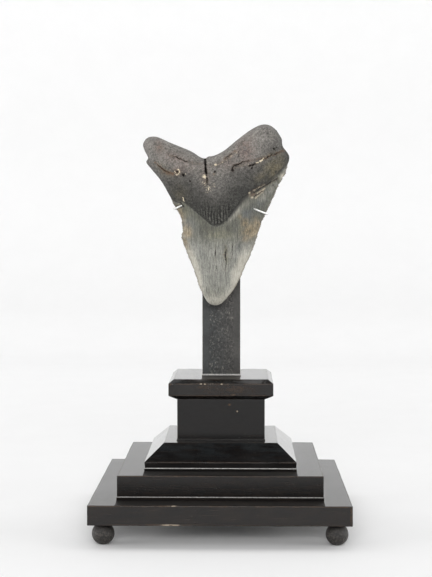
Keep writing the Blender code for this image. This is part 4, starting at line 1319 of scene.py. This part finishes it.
def make_block(node, below, name, stand):
    """One block of the stand, standing on the top of the block below it."""
    half, bottom, _ = block_span(node)
    if below:
        bottom = block_span(below)[2]
    edges = block_edges(node, bottom)
    standing, dusting = mirror_strip_of(node)
    block = Block(
        half_width=half / MM,
        arrises=[(width / MM, z / MM, rub) for (width, z), rub in zip(edges, BLOCK_RUB[node])],
        spots=BLOCK_SPOTS[node],
        joint=(bottom + STRIPS.get(node, NO_STRIP)) / MM,
        standing=standing,
        dusting=dusting,
        polish=POLISH[node],
    )
    piece = swept_piece(
        name, [upright_path(block_profile(node, edges, stand))],
        ebonised_wood(name.replace("_", " "), stand, block),
        {"Corner": stand.arris_radius / half, "Side Cuts": 14,
         "Dent Depth": stand.dent_depth, "Dent Size": stand.dent_size})
    crisp_edges(piece)
    hand_over(piece, "ebonised_wood", node)


def make_post(stand):
    half, _, top = block_span("post")
    bottom = block_span("cap")[2]
    profile = block_profile("post", [(half, bottom), (half, top)], stand)
    piece = swept_piece(
        "ebonised_post", [upright_path(profile)],
        post_finish(stand, (bottom + STRIPS["post"]) / MM),
        {"Corner": stand.arris_radius / half, "Side Cuts": 6})
    crisp_edges(piece)
    hand_over(piece, "ebonised_post", "post")


def foot_path(node, top):
    """A turned ball with small flats, from its foot up to the slab."""
    low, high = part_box(node)
    centre = (low + high) / 2
    middle = (low.z + high.z) / 2
    radius = (high.x - low.x) / 2
    flat = math.acos((middle - low.z) / radius)
    angles = np.linspace(flat, math.pi - flat, 26)
    profile = [(radius * math.sin(a), middle - radius * math.cos(a), 0.0) for a in angles]
    return upright_path(profile + [(profile[-1][0], top, 0.0)], centre.x, centre.y)


def make_feet(stand):
    nodes = [f"foot_{depth}_{side}" for depth in ("front", "back") for side in ("left", "right")]
    slab_bottom = block_span("base_slab")[1]
    piece = swept_piece(
        "turned_feet", [foot_path(node, slab_bottom) for node in nodes], foot_finish(stand),
        {**ROUND, "Corner Segments": 12})
    crisp_edges(piece)
    hand_over(piece, "ebonised_feet", *nodes)


def wire_route(side, edge, inner, plate, tree, claws):
    """A wire's points from the plate's side, behind the tooth, round its edge to its free end."""
    radius = claws.wire_diameter / 2
    lift = radius + WIRE_GAP
    edge_x, edge_z = edge
    plate_low, plate_high = plate
    plate_y = (plate_low.y + plate_high.y) / 2
    route = [
        (side * (plate_high.x - 1.0 * MM), plate_y, edge_z - 3.0 * MM),
        (side * (plate_high.x + 6.0 * MM), plate_y, edge_z - 2.6 * MM),
        (edge_x - side * 4.5 * MM, plate_y - 1.2 * MM, edge_z - 1.0 * MM),
        (edge_x - side * 0.8 * MM, plate_y - 4.0 * MM, edge_z - 0.6 * MM),
        (edge_x + side * (lift + 0.35 * MM), TOOTH_MIDDLE_Y * MM, edge_z - 0.2 * MM),
    ]
    for share in np.linspace(0.16, 1.0, 6):
        x = edge_x + (inner[0] - edge_x) * share
        z = edge_z + (inner[1] - edge_z) * share
        hit = tree.ray_cast(Vector((x, -1.0, z)), Vector((0.0, 1.0, 0.0)))[0]
        route.append((x, hit.y - lift, z))
    points = curve_through(route, np.linspace(0.0, 1.0, 90))
    lengths = np.linalg.norm(points - points[-1], axis=1)
    from_end = np.minimum(lengths / radius, 1.0)
    widths = radius * np.sqrt(np.maximum(from_end * (2.0 - from_end), 0.02))
    return [(*point, width, 0.0) for point, width in zip(points, widths)]


def make_claws(claws):
    finish = wire_finish(claws)
    mesh = bpy.data.objects["fossil_tooth"].data
    tree = BVHTree.FromPolygons([v.co for v in mesh.vertices], [p.vertices for p in mesh.polygons])
    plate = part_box("bracket_plate")
    for node, side, edge, inner in CLAWS:
        route = wire_route(side, edge, inner, plate, tree, claws)
        piece = swept_piece(
            node.replace("claw", "wire_claw"), [route], finish, {**ROUND, "Corner Segments": 5})
        piece.data.shade_smooth()
        hand_over(piece, "claw_wire", node)


def make_plate(finish):
    low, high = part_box("bracket_plate")
    half = high.x
    depth = (high.y - low.y) / 2
    eased = half - PLATE_EASE
    profile = [
        (eased, low.z, 0.0), (half, low.z + PLATE_EASE, 0.0),
        (half, high.z - PLATE_EASE, 0.0), (eased, high.z, 0.0)]
    piece = swept_piece(
        "mount_plate", [upright_path(profile, 0.0, (low.y + high.y) / 2)], finish,
        {"Corner": 0.04, "Side Cuts": 2, "Depth Ratio": depth / half})
    crisp_edges(piece)
    hand_over(piece, "bracket_metal", "bracket_plate")


def screw_path(low, high, radius, z):
    """A domed head's path, from its front to the plate."""
    height = high.y - low.y
    angles = np.linspace(0.0, math.pi / 2, 9)[1:]
    dome = [(radius * math.sin(a), low.y + height * DOME_RISE * (1 - math.cos(a))) for a in angles]
    profile = [(DOME_MIDDLE * radius, low.y), *dome, (radius, high.y)]
    return [(0.0, y, z, width, 0.0) for width, y in profile]


def slot_points(low, radius, z, turn):
    """The eight corners of a slot across a screw's head, turned to its own angle."""
    points = []
    for y in (low.y - 1.0 * MM, low.y + SLOT_DEPTH):
        for end, edge in ((-1, -1), (1, -1), (1, 1), (-1, 1)):
            along, across = end * SLOT_HALF_LENGTH, edge * SLOT_HALF_WIDTH
            x = radius * (along * math.cos(turn) - across * math.sin(turn))
            rise = radius * (along * math.sin(turn) + across * math.cos(turn))
            points.append((x, y, z + rise))
    return points


def make_screws(finish):
    """Domed screw heads on the plate, with their slots cut into them."""
    nodes = ("bracket_screw_upper", "bracket_screw_lower")
    sides = [(0, 1, 2, 3), (7, 6, 5, 4), (0, 4, 5, 1), (1, 5, 6, 2), (2, 6, 7, 3), (3, 7, 4, 0)]
    paths, points, faces = [], [], []
    for node, turn in zip(nodes, SLOT_TURNS):
        low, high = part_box(node)
        radius = (high.x - low.x) / 2
        z = (low.z + high.z) / 2
        paths.append(screw_path(low, high, radius, z))
        faces += [tuple(len(points) + corner for corner in side) for side in sides]
        points += slot_points(low, radius, z, turn)
    slots = bpy.data.meshes.new("screw slots")
    slots.from_pydata(points, [], faces)
    cutter = bpy.data.objects.new("screw_slots", slots)
    bpy.context.scene.collection.objects.link(cutter)
    piece = swept_piece("mount_screws", paths, finish, {**ROUND, "Corner Segments": 7})
    cut = piece.modifiers.new("slots", "BOOLEAN")
    cut.object = cutter
    settle(piece, cut)
    bpy.data.objects.remove(cutter)
    crisp_edges(piece, 35)
    hand_over(piece, "bracket_metal", *nodes)


def backdrop_profile():
    """The stage's (y, z) points: a floor that turns up behind the object into a wall."""
    profile = [(FLOOR_FRONT, 0.0), (0.0, 0.0)]
    for angle in np.linspace(0.0, math.pi / 2, 17).tolist():
        y = FLOOR_TURN + TURN_RADIUS * math.sin(angle)
        profile.append((y, TURN_RADIUS * (1 - math.cos(angle))))
    return profile + [(FLOOR_TURN + TURN_RADIUS, WALL_TOP)]


def paper_finish(stage):
    """Pale paper, a little paler where the lights reach it least, so that it looks even."""
    board = Finish("pale paper", Roughness=0.95, Specular_IOR_Level=0.1)
    fibres = board.noise(board.place, 0.02, 3.0, 0.6)
    paleness = board.y.ramp(300.0, 1080.0, 0.955, 1.075)
    paleness = paleness - board.z.ramp(0.0, 80.0, 0.0, 0.075) - board.z.ramp(200.0, 450.0, 0.0, 0.035)
    paleness = paleness + board.y.ramp(-120.0, -50.0) * board.y.ramp(140.0, 20.0) * 0.04
    paper = board.tinted(tuple(stage.floor_colour), paleness * fibres.ramp(0.3, 0.7, 0.99, 1.0))
    return board.finished(Base_Color=paper)


def make_backdrop(stage):
    profile = backdrop_profile()
    points = [(x, y, z) for y, z in profile for x in (-STAGE_HALF_WIDTH, STAGE_HALF_WIDTH)]
    faces = [(i, i + 1, i + 3, i + 2) for i in range(0, len(points) - 2, 2)]
    mesh = bpy.data.meshes.new("backdrop")
    mesh.from_pydata(points, [], faces)
    mesh.shade_smooth()
    mesh.materials.append(paper_finish(stage))
    backdrop = bpy.data.objects.new("backdrop", mesh)
    bpy.context.scene.collection.objects.link(backdrop)


def soft_light(name, place, target, size, power):
    light = bpy.data.lights.new(name, "AREA")
    light.shape = "RECTANGLE"
    light.size, light.size_y = size
    light.energy = power
    lamp = bpy.data.objects.new(name, light)
    lamp.location = place
    lamp.rotation_euler = (Vector(target) - Vector(place)).to_track_quat("-Z", "Y").to_euler()
    bpy.context.scene.collection.objects.link(lamp)


def make_lights(stage):
    middle = (0.0, 0.0, 0.1)
    lights = (
        ("left soft light", (-1.9, -0.3, 0.35), middle, (1.8, 0.6), stage.side_light * 1.1),
        ("right soft light", (1.9, -0.3, 0.35), middle, (1.8, 0.6), stage.side_light),
        ("front soft light", (0.0, -1.75, 0.72), (0.0, 0.0, 0.15), (1.3, 0.45), stage.front_light),
        ("front top light", (0.0, -1.2, 1.7), middle, (1.6, 0.8), stage.front_light * 0.25),
        ("top soft light", (0.0, 0.45, 1.6), (0.0, 0.2, 0.0), (2.6, 0.9), stage.top_light),
        ("left backdrop light", (-1.9, 0.4, 1.7), (0.1, 1.7, 0.4), (0.8, 1.4), stage.back_light),
        ("right backdrop light", (1.9, 0.4, 1.7), (-0.1, 1.7, 0.4), (0.8, 1.4), stage.back_light),
    )
    for light in lights:
        soft_light(*light)
    world = bpy.data.worlds.new("even room")
    world.use_nodes = True
    world.node_tree.nodes["Background"].inputs["Color"].default_value = (1.0, 1.0, 1.0, 1.0)
    world.node_tree.nodes["Background"].inputs["Strength"].default_value = stage.room_light
    bpy.context.scene.world = world
    bpy.context.scene.view_settings.view_transform = "Standard"


def make_camera():
    lens = bpy.data.cameras.new("camera")
    lens.sensor_width = SENSOR_WIDTH
    lens.lens = LENS_LENGTH
    camera = bpy.data.objects.new("camera", lens)
    camera.location = CAMERA_PLACE
    camera.rotation_euler = (math.radians(90.0 - CAMERA_DOWN), 0.0, math.radians(CAMERA_TURN))
    bpy.context.scene.collection.objects.link(camera)
    bpy.context.scene.camera = camera


def length_setting(name, description, default):
    return bpy.props.FloatProperty(name=name, description=description, default=default, unit="LENGTH")


def share_setting(name, description, default):
    return bpy.props.FloatProperty(
        name=name, description=description, default=default, min=0.0, max=1.0, subtype="FACTOR")


def power_setting(name, description, default):
    return bpy.props.FloatProperty(name=name, description=description, default=default, unit="POWER")


def colour_setting(name, description, default):
    return bpy.props.FloatVectorProperty(
        name=name, description=description, default=default, subtype="COLOR")


class ToothSettings(bpy.types.PropertyGroup):
    pore_depth: length_setting("Pore depth", "How deep the root is pitted", 0.16 * MM)
    pore_size: length_setting("Pore size", "Distance between the root's pits", 1.5 * MM)
    serration_pitch: length_setting(
        "Serration pitch", "Spacing of the fine teeth on the cutting edges", 1.1 * MM)
    serration_radius: length_setting(
        "Serration radius", "Size of the fine teeth on the cutting edges", 0.4 * MM)
    serrations_kept: share_setting(
        "Serrations kept", "Share of the fine teeth that wear has left", 0.8)
    enamel_roughness: share_setting("Enamel roughness", "How dull the crown is", 0.4)
    root_roughness: share_setting("Root roughness", "How dull the root is", 0.6)
    root_pale: colour_setting("Root lobes", "The root's lobes", (0.172, 0.161, 0.147))
    root_deep: colour_setting("Root", "The root beside the crown", (0.037, 0.036, 0.0325))
    collar: colour_setting("Collar", "The dark band under the root", (0.005, 0.005, 0.0045))
    collar_ridge: colour_setting(
        "Collar ridges", "The collar's upright ridges", (0.09, 0.088, 0.078))
    # Painted shade under the root's rim and along its outline.
    rim_shade: colour_setting(
        "Root rim shade", "Painted shade under the root's rim and along its outline", (0.02, 0.018, 0.016))
    crack_dark: colour_setting("Crack darkness", "Dark colour in the cracks and pits", (0.012, 0.009, 0.007))
    enamel_high: colour_setting("Upper enamel", "The crown below the root", (0.087, 0.087, 0.07))
    enamel_low: colour_setting("Lower enamel", "The crown near its tip", (0.205, 0.204, 0.18))
    scratch_colour: colour_setting(
        "Enamel scratches", "Dark hairlines down the crown", (0.07, 0.068, 0.05))
    worn_edge: colour_setting("Worn edge", "Pale, worn enamel", (0.355, 0.338, 0.288))
    # Partly the cutting edges' own brown and partly painted shade along them.
    fringe: colour_setting(
        "Edge fringe", "Brown line along the cutting edges", (0.12, 0.095, 0.06))
    chalk: colour_setting("Mineral crust", "Pale deposits in the root", (0.66, 0.57, 0.42))
    tan_stain: colour_setting("Tan stain", "Tan patches", (0.225, 0.178, 0.108))
    tan_deep: colour_setting("Deep tan", "Brown in the tan patches", (0.1, 0.078, 0.048))
    slate_stain: colour_setting("Slate stain", "Blue-grey enamel", (0.085, 0.09, 0.088))
    rust_stain: colour_setting("Rust stain", "Brown iron stains", (0.13, 0.075, 0.042))
    plum_stain: colour_setting("Plum stain", "Purple-brown tint", (0.162, 0.118, 0.102))
    olive_stain: colour_setting(
        "Olive stain", "Olive-brown patches on the root", (0.13, 0.11, 0.066))
    olive_enamel: colour_setting(
        "Olive enamel", "Greenish patches on the crown", (0.16, 0.15, 0.085))


class ClawSettings(bpy.types.PropertyGroup):
    wire_diameter: length_setting("Wire diameter", "Thickness of the claws", 1.3 * MM)
    wire_roughness: share_setting("Wire roughness", "How dull the wire is", 0.22)
    wire_colour: colour_setting("Wire", "Bright wire", (0.88, 0.88, 0.86))
    tarnish_colour: colour_setting("Tarnish", "Tarnished wire", (0.55, 0.54, 0.5))
    brass_colour: colour_setting("Brass", "The plate and its screws", (0.52, 0.38, 0.17))
    brass_tarnish: colour_setting("Brass tarnish", "Brown tarnish on the plate", (0.20, 0.13, 0.06))


class StandSettings(bpy.types.PropertyGroup):
    arris_radius: length_setting("Arris radius", "Rounding of the rubbed edges", 0.5 * MM)
    strip_depth: length_setting(
        "Strip depth", "Thickness of the strips round the blocks' feet", 0.4 * MM)
    dent_depth: length_setting("Dent depth", "Wear of the arrises", 0.18 * MM)
    dent_size: length_setting("Dent size", "Length of the dents in the arrises", 5.0 * MM)
    polish: share_setting("Polish", "Roughness of the blocks' polish", 0.04)
    dullness: share_setting("Dullness", "Roughness of the wood under the polish", 0.14)
    gloss: share_setting("Gloss", "Strength of the wood's own reflections", 0.12)
    wear: share_setting("Wear", "How far the stain is rubbed off the arrises", 0.7)
    wood_colour: colour_setting("Stain", "Black stain on the blocks", (0.0035, 0.003, 0.003))
    grain_colour: colour_setting("Grain", "Brown that shows in the grain", (0.011, 0.008, 0.0065))
    worn_colour: colour_setting("Rubbed edge", "Brown where the stain is thin", (0.10, 0.062, 0.038))
    bare_colour: colour_setting("Bare wood", "Chips down to the wood", (0.52, 0.44, 0.34))
    bloom_colour: colour_setting(
        "Bloom", "Bluish haze in the polish of the sloping faces", (0.014, 0.0165, 0.018))
    dust_colour: colour_setting("Dust", "Thin dust on the treads", (0.30, 0.28, 0.25))
    # Painted highlight: the pale line painted round the feet of the blocks and the post.
    joint_highlight_colour: colour_setting(
        "Wax", "Painted highlight in the lines round the blocks' feet", (0.4, 0.39, 0.37))
    post_colour: colour_setting("Post", "The post's stain", (0.044, 0.0415, 0.038))
    post_left: colour_setting(
        "Post's left side", "Cooler stain towards the post's left", (0.031, 0.034, 0.034))
    post_fleck: colour_setting(
        "Post flecks", "Pale flecks and marks on the post", (0.2, 0.19, 0.165))
    post_deep: colour_setting("Post pores", "The post's open pores", (0.006, 0.0055, 0.005))
    # Painted light from the floor on the feet's lower halves.
    foot_floor_light: colour_setting(
        "Feet lit from below", "Grey-brown painted light from the floor on the feet's lower halves", (0.07, 0.06, 0.048))
    foot_colour: colour_setting("Feet", "The ball feet's stain", (0.014, 0.012, 0.0105))


class StageSettings(bpy.types.PropertyGroup):
    floor_colour: colour_setting("Floor", "The pale floor and backdrop", (0.88, 0.88, 0.88))
    side_light: power_setting("Side lights", "Power of each soft light beside the object", 21.6)
    front_light: power_setting("Front light", "Power of the soft light above the camera", 18.0)
    top_light: power_setting("Top light", "Power of the soft light over the floor", 13.5)
    back_light: power_setting("Backdrop lights", "Power of each light on the backdrop", 7.0)
    room_light: bpy.props.FloatProperty(
        name="Room light", description="Strength of the even light from all sides", default=0.15)


class FOSSIL_OT_make_stage(bpy.types.Operator):
    """Make the pale floor and backdrop, the soft lights and the camera"""

    bl_idname = "fossil.make_stage"
    bl_label = "Make Stage"

    def execute(self, context):
        stage = context.scene.fossil_stage
        make_backdrop(stage)
        make_lights(stage)
        make_camera()
        return {"FINISHED"}


class FOSSIL_OT_make_tooth(bpy.types.Operator):
    """Make the fossil tooth with its root, collar, crown, cracks and serrations"""

    bl_idname = "fossil.make_tooth"
    bl_label = "Make Tooth"

    def execute(self, context):
        tooth = context.scene.fossil_tooth
        piece = bpy.data.objects.new("fossil_tooth", tooth_mesh())
        run_nodes(piece, fossil_skin_tree(), {
            "Pore Depth": tooth.pore_depth,
            "Pore Size": tooth.pore_size,
            "Serration Pitch": tooth.serration_pitch,
            "Serration Radius": tooth.serration_radius,
            "Serrations Kept": tooth.serrations_kept,
            "Material": fossil_finish(tooth),
        })
        hand_over(piece, "fossil", "tooth")
        return {"FINISHED"}


class FOSSIL_OT_make_claws(bpy.types.Operator):
    """Make the two bright wires that hook round the tooth's edges"""

    bl_idname = "fossil.make_claws"
    bl_label = "Make Claws"

    def execute(self, context):
        make_claws(context.scene.fossil_claws)
        return {"FINISHED"}


class FOSSIL_OT_make_bracket(bpy.types.Operator):
    """Make the small plate on the post that carries the wires, with its slotted screws"""

    bl_idname = "fossil.make_bracket"
    bl_label = "Make Bracket"

    def execute(self, context):
        finish = bracket_finish(context.scene.fossil_claws)
        make_plate(finish)
        make_screws(finish)
        return {"FINISHED"}


class FOSSIL_OT_make_blocks(bpy.types.Operator):
    """Make the stand's square blocks, from the base slab up to the cap"""

    bl_idname = "fossil.make_blocks"
    bl_label = "Make Blocks"

    def execute(self, context):
        below = None
        for node in ("base_slab", "middle_step", "bevelled_plinth", "pedestal_block", "cap"):
            make_block(node, below, "ebonised_" + node, context.scene.fossil_stand)
            below = node
        return {"FINISHED"}


class FOSSIL_OT_make_post(bpy.types.Operator):
    """Make the open-pored square post"""

    bl_idname = "fossil.make_post"
    bl_label = "Make Post"

    def execute(self, context):
        make_post(context.scene.fossil_stand)
        return {"FINISHED"}


class FOSSIL_OT_make_feet(bpy.types.Operator):
    """Make the four turned ball feet"""

    bl_idname = "fossil.make_feet"
    bl_label = "Make Feet"

    def execute(self, context):
        make_feet(context.scene.fossil_stand)
        return {"FINISHED"}


class FOSSIL_PT_panel(bpy.types.Panel):
    bl_idname = "FOSSIL_PT_panel"
    bl_label = "Mounted Tooth"
    bl_space_type = "VIEW_3D"
    bl_region_type = "UI"
    bl_category = "Fossil"

    def draw(self, context):
        for operator in OPERATORS:
            self.layout.operator(operator.bl_idname)
        for name, group in SETTINGS.items():
            box = self.layout.box()
            for setting in group.__annotations__:
                box.prop(getattr(context.scene, name), setting)


OPERATORS = (
    FOSSIL_OT_make_stage,
    FOSSIL_OT_make_blocks,
    FOSSIL_OT_make_post,
    FOSSIL_OT_make_feet,
    FOSSIL_OT_make_tooth,
    FOSSIL_OT_make_bracket,
    FOSSIL_OT_make_claws,
)
SETTINGS = {
    "fossil_tooth": ToothSettings,
    "fossil_claws": ClawSettings,
    "fossil_stand": StandSettings,
    "fossil_stage": StageSettings,
}


def register():
    for made in (*SETTINGS.values(), *OPERATORS, FOSSIL_PT_panel):
        bpy.utils.register_class(made)
    for name, group in SETTINGS.items():
        setattr(bpy.types.Scene, name, bpy.props.PointerProperty(type=group))


def unregister():
    for name in SETTINGS:
        delattr(bpy.types.Scene, name)
    for made in reversed((*SETTINGS.values(), *OPERATORS, FOSSIL_PT_panel)):
        bpy.utils.unregister_class(made)


def main():
    register()
    swept_body_tree()
    for operator in OPERATORS:
        group, action = operator.bl_idname.split(".")
        getattr(getattr(bpy.ops, group), action)()


if __name__ == "__main__":
    main()
